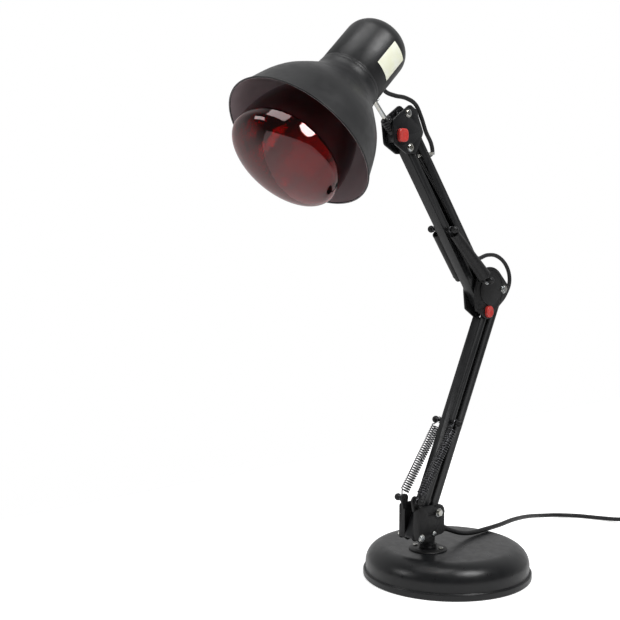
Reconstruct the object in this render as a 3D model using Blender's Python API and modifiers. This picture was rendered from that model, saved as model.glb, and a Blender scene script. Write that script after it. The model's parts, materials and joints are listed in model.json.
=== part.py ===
"""Infrared heat therapy lamp: weighted dome base, two parallelogram arms with springs, bell shade and ruby bulb.

Metres, +Z up. The origin is on the floor at the middle of the base, the head looks along -Y, and the near side
of the arm, with the knobs, is +X. Angles of lean are measured in the YZ plane from upright, positive towards +Y.
"""

from math import asin, atan2, ceil, cos, pi, radians, sin, tan

import bmesh
import bpy
from mathutils import Matrix, Vector
from mathutils.geometry import convex_hull_2d

# Clearances
GAP = 0.0003                # between pieces that touch
RUN = 0.0006                # beside a piece that swings
OVERRUN = 0.002             # how far a cutter reaches past what it cuts
WELD = 0.00005              # merge distance for points that meet
SHARP_ANGLE = radians(32.0)                 # an edge that bends more stays sharp
JOIN = 0.0006               # how deep shapes that are joined reach into each other

# Base
BASE_RADIUS = 0.100
BASE_LIP_HEIGHT = 0.0084
BASE_LIP_ROUND = 0.0012
BASE_LIP_WIDTH = 0.0028
BASE_WALL_RADIUS = BASE_RADIUS - BASE_LIP_WIDTH
BASE_WALL_TOP = 0.0165
BASE_TOP = 0.0385
DOME_ROUND = 0.0232         # from the plateau's edge out to the wall
PLATEAU_RADIUS = BASE_WALL_RADIUS - DOME_ROUND
SHELL_THICKNESS = 0.0012
SHELL_FOOT = 0.0010         # height of the shell's lower edge over the floor
PAD_THICKNESS = 0.0023
BOTTOM_PLATE_THICKNESS = 0.0012
WEIGHT_MARGIN = 0.0092      # inside the wall
WEIGHT_RADIUS = BASE_WALL_RADIUS - WEIGHT_MARGIN
WEIGHT_THICKNESS = 0.0125
BASE_STEPS = 28

# Post and its socket, forward of the base's middle
POST_Y = -0.034
POST_PIN_RADIUS = 0.0060
POST_RADIUS = 0.0080
POST_COLLAR_RADIUS = 0.0105
POST_COLLAR_HEIGHT = 0.0050
POST_RIDGE = 0.0008
POST_NECK_RADIUS = 0.0048
POST_PIN_DEPTH = 0.026      # below the top of the escutcheon
POST_TOP = 0.0570
POST_NECK_HEIGHT = 0.0055
SOCKET_WALL = 0.0035
SOCKET_FLANGE_RADIUS = 0.019
SOCKET_FLANGE_THICKNESS = 0.0030
ESCUTCHEON_RADIUS = 0.0225
ESCUTCHEON_THICKNESS = 0.0022
ESCUTCHEON_SCREW_CIRCLE = 0.0160
ESCUTCHEON_SCREW_ANGLES = (200.0, 20.0)
SOCKET_FLOOR = 0.0030
SCREW_RADIUS = 0.0016       # small screws and the cheek bolt
SCREW_HEAD_RADIUS = 0.0029
SCREW_HEAD_THICKNESS = 0.0013
SCREW_REACH = 0.0020        # into what it holds
SCREW_FLAT_SHARE = 0.7      # of a screw head's radius, where its rounding starts
POST_STEPS = 14

# Linkage: the foot's place (y, z), the arms' lengths between pivots, their leans in degrees, and steps (y, z)
LOWER_FRONT_PIVOT = (-0.0625, 0.0590)
LOWER_LENGTH = 0.2813
LOWER_LEAN_ANGLE = 25.5
LOWER_OFFSET = (0.0295, 0.0255)     # from a lower front pivot to the rear one
UPPER_LENGTH = 0.2356
UPPER_LEAN_ANGLE = -35.8
UPPER_OFFSET = (-0.0035, 0.0375)    # from an upper front pivot to the rear one
TILT_OFFSET = (-0.0146, 0.0130)     # from the head's low pivot to the one it tilts on
NECK_OFFSET = (-0.0746, 0.0531)     # from there to the middle of the shade's neck
LOWER_PEG_SHARE = 0.50              # of the lower bar's length, from its foot
UPPER_PEG_SHARE = 0.52              # of the upper bar's length, from the elbow

# Bars: pressed channels
BAR_HALF_WIDTH = 0.0062
BAR_HALF_DEPTH = 0.0053
BAR_WALL = 0.0012
BAR_END_STEPS = 5
FORK_LENGTH = 0.0150
TONGUE_LENGTH = 0.0110      # from the pivot to the upper channel's foot
TONGUE_OVERLAP = 0.0120     # inside the channel
TONGUE_HALF_WIDTH = 0.0046
TONGUE_HALF_DEPTH = 0.0039
WEB_SLOT_HALF_WIDTH = 0.0033
LOWER_WEB_SLOT = (0.230, 0.268)     # along the lower rear bar, where the lead goes in
UPPER_WEB_SLOTS = ((0.017, 0.046), (0.170, 0.200))      # and along the upper one
BOLT_RADIUS = 0.0021
BOLT_HEAD_RADIUS = 0.0040
BOLT_HEAD_THICKNESS = 0.0016
NUT_RADIUS = 0.0042
NUT_THICKNESS = 0.0026
SLOT_DEPTH = 0.0008
BOLT_STEPS = 8

# Swivel bracket: two moulded cheeks on a block
CHEEK_HALF_WIDTH = 0.0157
CHEEK_WALL = 0.0025
BRACKET_FRONT = -0.0670
BRACKET_REAR = -0.0235
BRACKET_FRONT_FOOT = 0.0545
BRACKET_REAR_FOOT = 0.0595
BRACKET_TOP = 0.0955
BRACKET_TOP_REAR = -0.0450
BRACKET_LOBE = 0.0100
BRACKET_CORNER = 0.0025
BOSS_RADIUS = 0.0043
LIP_DEPTH = 0.0026
SLOT_RECESS_WIDTH = 0.0036
SLOT_RECESS_LENGTH = 0.0170
SLOT_RECESS_DEPTH = 0.0012
SLOT_RECESS_PLACE = (-0.0430, 0.0850)
BLOCK_FRONT = -0.0460
BLOCK_REAR = -0.0262
BLOCK_HEIGHT = 0.0085
CHEEK_BOLT_INSET = 0.0042   # from the block's front
WALL_FRONT = -0.0275        # the block's rear wall, which holds the strain relief
WALL_REAR = -0.0245
WALL_TOP = 0.0755
RELIEF_PLACE = (-0.0260, 0.0662)
RELIEF_DROP = 22.0          # degrees below level
RELIEF_NECK_RADIUS = 0.0040
RELIEF_RADIUS = 0.0052
RELIEF_END_RADIUS = 0.0036
RELIEF_INSIDE = 0.0028      # how far it reaches in front of its place
RELIEF_SHOULDER = 0.0032    # from its place to the taper
RELIEF_LENGTH = 0.0240      # from its place to its tip

# Spring anchors, pegs and knobs
ANCHOR_OFFSET = (-0.0039, 0.0437)   # from the lower front pivot
EAR_RADIUS = 0.0055
EAR_THICKNESS = 0.0026
EAR_DROP = 0.0120
PEG_RADIUS = 0.0022
KNOB_RADIUS = 0.0042
KNOB_PLACE = 0.0182         # along X, of the middle of the knob
SPRING_PLACE = 0.0127       # along X, of the lower springs' axis
SPRING_WIRE = 0.0006
SPRING_COIL = 0.0050
SPRING_CURLS = 16
CURL_POINTS = 8
SPRING_HOOK = 0.0034
UPPER_SPRING_CURLS = 5
UPPER_SPRING_COIL = 0.0036
SPRING_LEAD = 0.0100        # from a hook's middle to the first curl
HOOK_OPENING = radians(60.0)
HOOK_STEPS = 8
HOOK_RISE_SHARES = ((0.5, 0.55), (0.85, 0.8))               # of the coil's radius and the lead

# Upper springs in their sleeves
SLEEVE_TOP_RADIUS = 0.0058
SLEEVE_END_RADIUS = 0.0082
SLEEVE_WALL = 0.0010
SLEEVE_TOP_PLACE = 0.0127   # along X, at the peg
SLEEVE_END_PLACE = 0.0195   # along X, at the elbow
SLEEVE_MARGIN = 0.0070      # from either anchor to the sleeve's end
ELBOW_STUD_OFFSET = (-0.0145, 0.0390)       # from the elbow's pivot
ELBOW_KNOB_PLACE = 0.0250   # along X, of its ball
STUD_FLANGE = 0.0034
STUD_FLANGE_THICKNESS = 0.0012

# Elbow
ELBOW_PLATE_INNER = 0.0069
ELBOW_PLATE_THICKNESS = 0.0026
ELBOW_DISC_OFFSET = (0.0035, 0.0260)        # from the elbow's pivot
ELBOW_DISC_RADIUS = 0.0275
ELBOW_DISC_RAISE = 0.0012
ELBOW_DISC_INSET = 0.0092
ELBOW_REAR_LOBE = 0.0095
ELBOW_FOOT_LOBE = 0.0090
ELBOW_CORNER_OFFSET = (-0.0185, 0.0050)
ELBOW_CORNER_ROUND = 0.0030
CAP_LENGTH = 0.0140
CAP_WIDTH = 0.0120
CAP_THICKNESS = 0.0042
CAP_EDGE = 0.0008
CAP_ROUND_SHARE = 0.45      # of its width

# Head bracket, hub and stem
HEAD_PLATE_THICKNESS = 0.0022
HEAD_PLATE_CORNER = 0.0050
HEAD_PLATE_OFFSETS = (      # its corners (y, z) from the head's low pivot
    (-0.0056, -0.0070), (0.0094, -0.0065), (0.0214, 0.0170), (0.0094, 0.0420), (-0.0006, 0.0475), (-0.0286, 0.0290),
    (-0.0246, 0.0030),
)
HUB_RADIUS = 0.0085
HUB_NECK_RADIUS = 0.0062
HUB_NECK_LENGTH = 0.0240
STEM_RADIUS = 0.0026
STEM_DEPTH = 0.0120         # in the hub's neck
STEM_NUT = 0.0030           # inside the cover
STEM_FLANGE_RADIUS = 0.0075
STEM_FLANGE_THICKNESS = 0.0024
HEAD_CAP_SIZE = 0.0150
HEAD_CAP_ROUND_SHARE = 0.25

# Head: u runs from the shade's neck back along the lamp's axis
HEAD_TILT = 43.0
RIM_RADIUS = 0.085
SHADE_LENGTH = 0.096
SHADE_NECK_RADIUS = 0.0368
SHADE_THICKNESS = 0.0010
SHADE_HOLE_RADIUS = 0.0225
RIM_BEAD = 0.0009
SHADE_SHARES = ((0.10, 0.02), (0.22, 0.16), (0.36, 0.39), (0.50, 0.60), (0.66, 0.76), (0.83, 0.88))
COVER_RADIUS = 0.0364
COVER_LENGTH = 0.079
COVER_DOME = 0.025
COVER_TOP_FLAT = 0.009
LEAD_HOLE_U = 0.0378
LEAD_EASE = 0.0008
COVER_STEPS = 20
HEAD_STEPS = 24
HOLDER_RADIUS = 0.0195
HOLDER_BORE = 0.0147
HOLDER_LENGTH = 0.054
HOLDER_FLOOR = 0.010
HOLDER_FLANGE = 0.0022
CAP_RADIUS = 0.0133
CAP_DEPTH = 0.027
CAP_TIP = 0.0040
CAP_COLLAR = 0.0050
CAP_COLLAR_RADIUS = 0.0136
THREAD_DEPTH = 0.0009
BULB_RADIUS = 0.0625
BULB_WIDEST = -0.122        # u of the widest ring
BULB_FACE = 0.021           # from the widest ring to the front
BULB_NECK_RADIUS = 0.0190
BULB_NECK_TAPER = (0.0138, -0.0020)     # its radius inside the holder, from this u
BULB_NECK_END = 0.0055
BULB_NECK_LENGTH = 0.020
BULB_BACK_STEPS = 6
BULB_BACK_POWER = 1.25
GLASS_THICKNESS = 0.0009
COVER_SCREW_U = 0.008
COVER_SCREW_ANGLE = 62.0
COVER_SCREW_RADIUS = 0.0024
BULB_STEPS = 20

# Cords
CORD_RADIUS = 0.0028
CORD_STEP = 0.0140
LEAD_RADIUS = 0.0024
LEAD_STEP = 0.0120
CORD_SIDES = 1              # bevel resolution
COIL_RADIUS = 0.0335        # at the middle of its turns
COIL_TURNS = 2.75           # in each of its two layers
COIL_CLIMB = 0.5            # of a turn, from layer to layer
COIL_POINTS = 24            # on each turn
COIL_PITCH = 0.0070         # from turn to turn and from layer to layer
COIL_LEAD = 0.0600          # straight, from the switch to the first turn
LINK_DROP = 0.0230          # of that, down to the floor
COIL_TAIL = 0.0400          # from the last turn to the plug
SWITCH_LENGTH = 0.0720
SWITCH_WIDTH = 0.0240
SWITCH_HEIGHT = 0.0170
SWITCH_ROUND = 0.0030
SWITCH_FOOT = 0.0
ROCKER_LENGTH = 0.0200
ROCKER_WIDTH = 0.0110
ROCKER_RISE = 0.0022
ROCKER_DEPTH = 0.0060
ROCKER_AXIS_DROP = 0.0010   # below the housing's top
ROCKER_THROW = 16.0
PLUG_RADIUS = 0.0130
PLUG_LENGTH = 0.0360
PLUG_TAIL_RADIUS = 0.0060
PIN_RADIUS = 0.0020
PIN_LENGTH = 0.0190
PIN_SPACING = 0.0190

# The mains cord's route, chosen by hand: out of the strain relief, over the dome, down to the floor behind
CORD_ROUTE = (
    (0.0000, -0.0034, 0.0569), (0.0004, 0.0055, 0.0534), (0.0008, 0.0180, 0.0484), (0.0006, 0.0320, 0.0446),
    (0.0002, 0.0480, 0.0424), (-0.0007, 0.0700, 0.0418), (-0.0050, 0.1030, 0.0402), (-0.0220, 0.1540, 0.0345),
    (-0.0480, 0.2200, 0.0218), (-0.0640, 0.2760, 0.0098), (-0.0630, 0.3080, 0.0048), (-0.0460, 0.3300, 0.0032),
    (-0.0180, 0.3430, 0.0034), (0.0060, 0.3480, 0.0052), (0.0200, 0.3490, 0.0078), (0.0320, 0.3490, 0.0085),
)
# The lead that the arms hold, from the lamp's cover to the strain relief
LEAD_ROUTE = (
    (0.0000, -0.1202, 0.5734), (0.0000, -0.1100, 0.5640), (0.0000, -0.0950, 0.5605), (0.0000, -0.0780, 0.5590),
    (0.0000, -0.0620, 0.5530), (0.0000, -0.0520, 0.5390), (0.0000, -0.0440, 0.5230), (0.0000, -0.0345, 0.5090),
    (0.0000, -0.0330, 0.4990), (0.0000, -0.0405, 0.4970), (0.0000, -0.0490, 0.5040), (0.0000, -0.0590, 0.5030),
    (0.0000, -0.0560, 0.4960), (0.0000, -0.0450, 0.4830), (0.0000, -0.0180, 0.4515), (0.0000, 0.0020, 0.4238),
    (0.0000, 0.0240, 0.3960), (0.0000, 0.0390, 0.3790), (0.0000, 0.0510, 0.3765), (0.0000, 0.0667, 0.3800),
    (0.0000, 0.0838, 0.3790), (0.0000, 0.0994, 0.3710), (0.0000, 0.1094, 0.3580), (0.0000, 0.1110, 0.3440),
    (0.0000, 0.1010, 0.3280), (0.0000, 0.0860, 0.3160), (0.0000, 0.0710, 0.2990), (0.0000, 0.0450, 0.2440),
    (0.0000, 0.0100, 0.1730), (0.0000, -0.0180, 0.1160), (0.0000, -0.0290, 0.0960), (0.0000, -0.0375, 0.0900),
    (0.0000, -0.0388, 0.0830), (0.0000, -0.0372, 0.0760), (0.0000, -0.0346, 0.0703), (0.0000, -0.0297, 0.0682),
)


def shifted(place, step):
    """A (y, z) place moved by a step."""
    return (place[0] + step[0], place[1] + step[1])


def along(place, turn, length):
    """The (y, z) place at a length from another, on a line that leans by turn from upright towards +Y."""
    return (place[0] + length * sin(turn), place[1] + length * cos(turn))


# Values worked out from the ones above
LOWER_LEAN = radians(LOWER_LEAN_ANGLE)
UPPER_LEAN = radians(UPPER_LEAN_ANGLE)
LOWER_REAR_PIVOT = shifted(LOWER_FRONT_PIVOT, LOWER_OFFSET)
ANCHOR_PLACE = shifted(LOWER_FRONT_PIVOT, ANCHOR_OFFSET)
ELBOW_PIVOT = along(LOWER_FRONT_PIVOT, LOWER_LEAN, LOWER_LENGTH)
ELBOW_REAR_PIVOT = shifted(ELBOW_PIVOT, LOWER_OFFSET)
ELBOW_UPPER_PIVOT = shifted(ELBOW_PIVOT, UPPER_OFFSET)
ELBOW_DISC_PLACE = shifted(ELBOW_PIVOT, ELBOW_DISC_OFFSET)
ELBOW_CORNER_PLACE = shifted(ELBOW_PIVOT, ELBOW_CORNER_OFFSET)
ELBOW_STUD_PLACE = shifted(ELBOW_PIVOT, ELBOW_STUD_OFFSET)
HEAD_LOW_PIVOT = along(ELBOW_PIVOT, UPPER_LEAN, UPPER_LENGTH)
HEAD_UP_PIVOT = shifted(HEAD_LOW_PIVOT, UPPER_OFFSET)
TILT_PIVOT = shifted(HEAD_LOW_PIVOT, TILT_OFFSET)
NECK_PLACE = shifted(TILT_PIVOT, NECK_OFFSET)
LOWER_PEG_PLACE = along(LOWER_FRONT_PIVOT, LOWER_LEAN, LOWER_LENGTH * LOWER_PEG_SHARE)
UPPER_PEG_PLACE = along(ELBOW_PIVOT, UPPER_LEAN, UPPER_LENGTH * UPPER_PEG_SHARE)
BOLT_HOLE = BOLT_RADIUS + GAP
PLATE_OUTER = ELBOW_PLATE_INNER + ELBOW_PLATE_THICKNESS
HEAD_PLATE_OUTER = ELBOW_PLATE_INNER + HEAD_PLATE_THICKNESS
CHEEK_INNER = CHEEK_HALF_WIDTH - CHEEK_WALL
WEIGHT_FOOT = PAD_THICKNESS + BOTTOM_PLATE_THICKNESS + 2 * GAP
WEIGHT_TOP = WEIGHT_FOOT + WEIGHT_THICKNESS
ESCUTCHEON_TOP = BASE_TOP + GAP + ESCUTCHEON_THICKNESS
SOCKET_RADIUS = POST_PIN_RADIUS + GAP + SOCKET_WALL

SIDES = {"near": 1.0, "far": -1.0}
STAND_YZ = Matrix(((0, 0, 1, 0), (1, 0, 0, 0), (0, 1, 0, 0), (0, 0, 0, 1)))     # x to Y, y to Z, z to X


def start():
    """An empty scene with a collection for the parts and one for the cutters."""
    for item in list(bpy.data.objects):
        bpy.data.objects.remove(item, do_unlink=True)
    groups = []
    for name in ("heat_lamp", "cutters"):
        group = bpy.data.collections.new(name)
        bpy.context.scene.collection.children.link(group)
        groups.append(group)
    return groups


PARTS, CUTTERS = start()


def finish(name, colour, roughness, metallic=0.0, transmission=0.0):
    """A Principled material."""
    material = bpy.data.materials.new(name)
    material.use_nodes = True
    shader = material.node_tree.nodes["Principled BSDF"]
    shader.inputs["Base Color"].default_value = (*colour, 1.0)
    shader.inputs["Roughness"].default_value = roughness
    shader.inputs["Metallic"].default_value = metallic
    shader.inputs["Transmission Weight"].default_value = transmission
    return material


BLACK_PAINT = finish("black_paint", (0.018, 0.018, 0.020), 0.38)
BLACK_PLASTIC = finish("black_plastic", (0.020, 0.020, 0.022), 0.50)
RED_PLASTIC = finish("red_plastic", (0.62, 0.030, 0.025), 0.38)
STEEL = finish("zinc_steel", (0.62, 0.62, 0.60), 0.30, 1.0)
SPRING_STEEL = finish("spring_steel", (0.20, 0.20, 0.21), 0.35, 1.0)
RUBY_GLASS = finish("ruby_glass", (0.35, 0.008, 0.015), 0.06, 0.0, 0.6)
CAP_METAL = finish("lamp_cap_brass", (0.66, 0.58, 0.42), 0.30, 1.0)
CERAMIC = finish("ceramic", (0.86, 0.84, 0.79), 0.35)
CAST_IRON = finish("cast_iron", (0.10, 0.10, 0.10), 0.75, 0.6)
FOAM = finish("foam_pad", (0.045, 0.045, 0.048), 0.90)
CORD_BLACK = finish("cord_black", (0.022, 0.022, 0.024), 0.55)


def at(place, x=0.0, turn=0.0):
    """The matrix of a piece whose origin is at (y, z) and whose +Z leans by turn towards +Y."""
    return Matrix.Translation((x, place[0], place[1])) @ Matrix.Rotation(-turn, 4, "X")


def along_x(place):
    """The matrix of a turned piece whose axis runs along X through (y, z)."""
    return at(place) @ Matrix.Rotation(pi / 2, 4, "Y")


HEAD_LEAN = radians(90.0 - HEAD_TILT)
HEAD = at(NECK_PLACE, turn=HEAD_LEAN)       # +Z runs back along the lamp's axis, +Y towards the stem
HEAD_INVERSE = HEAD.inverted()
TILT_IN_HEAD = HEAD_INVERSE @ Vector((0.0, *TILT_PIVOT))


def keep(name, data, material, matrix, cutter=False):
    """Adds a mesh or curve as a part, or as a hidden cutter."""
    item = bpy.data.objects.new(name, data)
    item.matrix_world = matrix
    if cutter:
        item.hide_render = True
        item.display_type = "WIRE"
        CUTTERS.objects.link(item)
    else:
        data.materials.append(material)
        PARTS.objects.link(item)
    return item


def smooth(item):
    """Shades round faces smooth."""
    item.data.shade_smooth()
    item.data.set_sharp_from_angle(angle=SHARP_ANGLE)
    return item


def turned(name, profile, material, matrix, steps, ring=False):
    """A profile of (radius, height) turned round the piece's own Z, from the top down its outer side."""
    mesh = bpy.data.meshes.new(name)
    edges = [(i, i + 1) for i in range(len(profile) - 1)]
    if ring:
        edges.append((len(profile) - 1, 0))
    mesh.from_pydata([(radius, 0.0, height) for radius, height in profile], edges, [])
    item = keep(name, mesh, material, matrix)
    screw = item.modifiers.new("turn", "SCREW")
    screw.steps = steps
    screw.render_steps = steps
    screw.use_merge_vertices = True
    screw.merge_threshold = WELD
    screw.use_smooth_shade = True
    return item


def box(name, low, high, material, matrix=Matrix(), cutter=False):
    """A block between two corners, from a cube."""
    shape = bmesh.new()
    bmesh.ops.create_cube(shape, size=1.0)
    for vertex in shape.verts:
        vertex.co = [(a + b) / 2 + c * (b - a) for a, b, c in zip(low, high, vertex.co)]
    mesh = bpy.data.meshes.new(name)
    shape.to_mesh(mesh)
    shape.free()
    return keep(name, mesh, material, matrix, cutter)


def rod(name, radius, low, high, material, matrix, steps=BOLT_STEPS, cutter=False):
    """A cylinder along the piece's own Z, from low to high."""
    shape = bmesh.new()
    bmesh.ops.create_cone(shape, cap_ends=True, segments=steps, radius1=radius, radius2=radius, depth=high - low,
                          matrix=Matrix.Translation((0.0, 0.0, (low + high) / 2)))
    mesh = bpy.data.meshes.new(name)
    shape.to_mesh(mesh)
    shape.free()
    return smooth(keep(name, mesh, material, matrix, cutter))


def plate(name, outline, low, high, material, matrix, cutter=False):
    """A flat outline of (y, z) points, from low to high along X."""
    curve = bpy.data.curves.new(name, "CURVE")
    curve.dimensions = "2D"
    curve.fill_mode = "BOTH"
    curve.extrude = (high - low) / 2
    spline = curve.splines.new("POLY")
    spline.points.add(len(outline) - 1)
    for point, place in zip(spline.points, outline):
        point.co = (*place, 0.0, 1.0)
    spline.use_cyclic_u = True
    middle = Matrix.Translation(((low + high) / 2, 0.0, 0.0))
    return as_mesh(keep(name, curve, material, matrix @ middle @ STAND_YZ), cutter)


def as_mesh(source, cutter=False):
    """The curve as a mesh of one closed body."""
    name, matrix = source.name, source.matrix_world.copy()
    bpy.context.view_layer.update()
    mesh = bpy.data.meshes.new_from_object(source.evaluated_get(bpy.context.evaluated_depsgraph_get()))
    curve = source.data
    bpy.data.objects.remove(source, do_unlink=True)
    bpy.data.curves.remove(curve)
    shape = bmesh.new()
    shape.from_mesh(mesh)
    bmesh.ops.remove_doubles(shape, verts=shape.verts, dist=WELD / 5)
    bmesh.ops.recalc_face_normals(shape, faces=shape.faces)
    shape.to_mesh(mesh)
    shape.free()
    material = mesh.materials[0]
    mesh.materials.clear()
    mesh.name = name
    return keep(name, mesh, material, matrix, cutter)


def join(item, *tools):
    """Adds the tools' shapes to the piece."""
    return combine(item, "UNION", tools)


def cut(item, *tools):
    """Takes the tools' shapes out of the piece."""
    return combine(item, "DIFFERENCE", tools)


def combine(item, operation, tools):
    for tool in tools:
        step = item.modifiers.new(tool.name, "BOOLEAN")
        step.operation = operation
        step.object = tool
        step.solver = "EXACT"
    return item


def arc(place, radius, first, last, steps):
    """Points on an arc, with angles in degrees from +Y (or from the radius) towards +Z."""
    span = [radians(first + (last - first) * i / steps) for i in range(steps + 1)]
    return [(place[0] + radius * cos(a), place[1] + radius * sin(a)) for a in span]


def ring(place, radius, steps=BOLT_STEPS):
    """A round hole's outline."""
    return arc(place, radius, 0.0, 360.0 - 360.0 / steps, steps - 1)


def rounded(corners, radius, steps=3):
    """A closed outline, counter-clockwise, with its corners rounded."""
    outline = []
    for i, corner in enumerate(corners):
        before, here, after = (Vector(corners[i - 1]), Vector(corner), Vector(corners[(i + 1) % len(corners)]))
        one, two = (before - here).normalized(), (after - here).normalized()
        half = one.angle(two) / 2
        centre = here + (one + two).normalized() * (radius / sin(half))
        first = centre - here - one * (centre - here).dot(one)
        second = centre - here - two * (centre - here).dot(two)
        a, b = atan2(-first.y, -first.x), atan2(-second.y, -second.x)
        while b < a:
            b += 2 * pi
        outline += [(centre.x + radius * cos(a + (b - a) * s / steps), centre.y + radius * sin(a + (b - a) * s / steps))
                    for s in range(steps + 1)]
    return outline


def quarter(centre, across, up, steps):
    """A quarter of an ellipse from straight above the centre down to its outer side."""
    return [(centre[0] + across * sin(pi / 2 * i / steps), centre[1] + up * cos(pi / 2 * i / steps))
            for i in range(steps + 1)]


def around(*outlines):
    """The tight outline round several others."""
    points = [Vector(point) for outline in outlines for point in outline]
    return [tuple(points[i]) for i in convex_hull_2d(points)]


def inset(profile, distance):
    """The profile moved inwards by a distance, for the inner side of a shell."""
    points = [Vector(p) for p in profile]
    moved = []
    for i, point in enumerate(points):
        way = points[min(i + 1, len(points) - 1)] - points[max(i - 1, 0)]
        normal = Vector((way.y, -way.x)).normalized()
        moved.append((max(0.0, point.x + normal.x * distance), point.y + normal.y * distance))
    return moved


def shell(profile, thickness):
    """A closed profile: down the outer side and back up the inner one."""
    return list(profile) + list(reversed(inset(profile, thickness)))


def route(points, step):
    """Points an even step apart on a smooth curve through the given ones."""
    places = [Vector(p) for p in points]
    places = [places[0] * 2 - places[1], *places, places[-1] * 2 - places[-2]]
    fine = []
    for before, first, second, after in zip(places, places[1:], places[2:], places[3:]):
        knots = [0.0]
        for one, two in ((before, first), (first, second), (second, after)):
            knots.append(knots[-1] + max((two - one).length, WELD) ** 0.5)
        pieces = max(4, ceil((second - first).length / (step / 8)))
        for i in range(pieces):
            t = knots[1] + (knots[2] - knots[1]) * i / pieces
            level = [before, first, second, after]
            for depth in (1, 2, 3):
                level = [level[k].lerp(level[k + 1], spread(t, knots, k, depth)) for k in range(len(level) - 1)]
            fine.append(level[0])
    fine.append(places[-2])
    lengths = [0.0]
    for one, two in zip(fine, fine[1:]):
        lengths.append(lengths[-1] + (two - one).length)
    count = max(2, round(lengths[-1] / step))
    even, k = [], 0
    for i in range(count + 1):
        goal = lengths[-1] * i / count
        while k < len(lengths) - 2 and lengths[k + 1] < goal:
            k += 1
        even.append(fine[k].lerp(fine[k + 1], (goal - lengths[k]) / (lengths[k + 1] - lengths[k])))
    return even


def spread(t, knots, k, depth):
    """The share between two points in one level of a Catmull-Rom curve's pyramid."""
    if depth == 1:
        low, high = knots[k], knots[k + 1]
    elif depth == 2:
        low, high = knots[k], knots[k + 2]
    else:
        low, high = knots[1], knots[2]
    return (t - low) / (high - low)


def tube(name, points, radius, material, matrix=Matrix(), resolution=CORD_SIDES):
    """A round bar along the points."""
    curve = bpy.data.curves.new(name, "CURVE")
    curve.dimensions = "3D"
    curve.bevel_depth = radius
    curve.bevel_resolution = resolution
    curve.use_fill_caps = True
    spline = curve.splines.new("POLY")
    spline.points.add(len(points) - 1)
    for point, place in zip(spline.points, points):
        point.co = (*place, 1.0)
    spline.use_smooth = True
    return keep(name, curve, material, matrix)


def base():
    """The domed shell, the weight inside it, the bottom plate, the foam pad and the escutcheon."""
    wall = BASE_WALL_RADIUS - PLATEAU_RADIUS
    outer = [(0.0, BASE_TOP), *quarter((PLATEAU_RADIUS, BASE_WALL_TOP), wall, BASE_TOP - BASE_WALL_TOP, 4),
             (BASE_WALL_RADIUS, BASE_LIP_HEIGHT), (BASE_RADIUS - BASE_LIP_ROUND, BASE_LIP_HEIGHT),
             (BASE_RADIUS, BASE_LIP_HEIGHT - BASE_LIP_ROUND), (BASE_RADIUS, SHELL_FOOT)]
    dome = turned("base_shell", shell(outer, SHELL_THICKNESS), BLACK_PAINT, Matrix(), BASE_STEPS)
    post = at((POST_Y, 0.0))
    bore = POST_PIN_RADIUS + GAP
    under = BASE_TOP - SHELL_THICKNESS - GAP
    foot = ESCUTCHEON_TOP - POST_PIN_DEPTH - GAP - SOCKET_FLOOR
    on_weight = WEIGHT_TOP + GAP
    socket = turned("post_socket", [
        (0.0, foot + SOCKET_FLOOR), (bore, foot + SOCKET_FLOOR), (bore, under), (SOCKET_FLANGE_RADIUS, under),
        (SOCKET_FLANGE_RADIUS, under - SOCKET_FLANGE_THICKNESS), (SOCKET_RADIUS, under - SOCKET_FLANGE_THICKNESS),
        (SOCKET_RADIUS, on_weight + SOCKET_FLANGE_THICKNESS),
        (SOCKET_FLANGE_RADIUS, on_weight + SOCKET_FLANGE_THICKNESS), (SOCKET_FLANGE_RADIUS, on_weight),
        (SOCKET_RADIUS, on_weight), (SOCKET_RADIUS, foot), (0.0, foot)], STEEL, post, POST_STEPS)
    escutcheon = turned("escutcheon_ring", [
        (bore, ESCUTCHEON_TOP), (ESCUTCHEON_RADIUS - SLOT_DEPTH, ESCUTCHEON_TOP),
        (ESCUTCHEON_RADIUS, ESCUTCHEON_TOP - SLOT_DEPTH), (ESCUTCHEON_RADIUS, BASE_TOP + GAP),
        (bore, BASE_TOP + GAP)], BLACK_PLASTIC, post, BASE_STEPS, ring=True)
    cut(dome, rod("post_hole", bore, BASE_TOP - OVERRUN, BASE_TOP + OVERRUN, None, post, POST_STEPS, cutter=True))
    for i, angle in enumerate(ESCUTCHEON_SCREW_ANGLES, 1):
        side = Matrix.Translation((ESCUTCHEON_SCREW_CIRCLE * cos(radians(angle)),
                                   ESCUTCHEON_SCREW_CIRCLE * sin(radians(angle)), 0.0))
        screw(f"escutcheon_screw_{i}", post @ side, ESCUTCHEON_TOP + GAP, under - SCREW_REACH)
        hole = rod(f"escutcheon_hole_{i}", SCREW_RADIUS + GAP, under - SCREW_REACH - GAP, BASE_TOP + BASE_LIP_HEIGHT,
                   None, post @ side, cutter=True)
        for item in (dome, escutcheon, socket):
            cut(item, hole)
    weight = rod("base_weight", WEIGHT_RADIUS, WEIGHT_FOOT, WEIGHT_TOP, CAST_IRON, Matrix(), BASE_STEPS)
    cut(weight, rod("weight_hole", SOCKET_RADIUS + GAP, WEIGHT_FOOT - OVERRUN, WEIGHT_TOP + OVERRUN, None, post,
                    POST_STEPS, cutter=True))
    inner = BASE_RADIUS - SHELL_THICKNESS - GAP
    rod("base_bottom_plate", inner, PAD_THICKNESS + GAP, PAD_THICKNESS + GAP + BOTTOM_PLATE_THICKNESS, STEEL,
        Matrix(), BASE_STEPS)
    rod("base_pad", inner, 0.0, PAD_THICKNESS, FOAM, Matrix(), BASE_STEPS)


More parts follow.
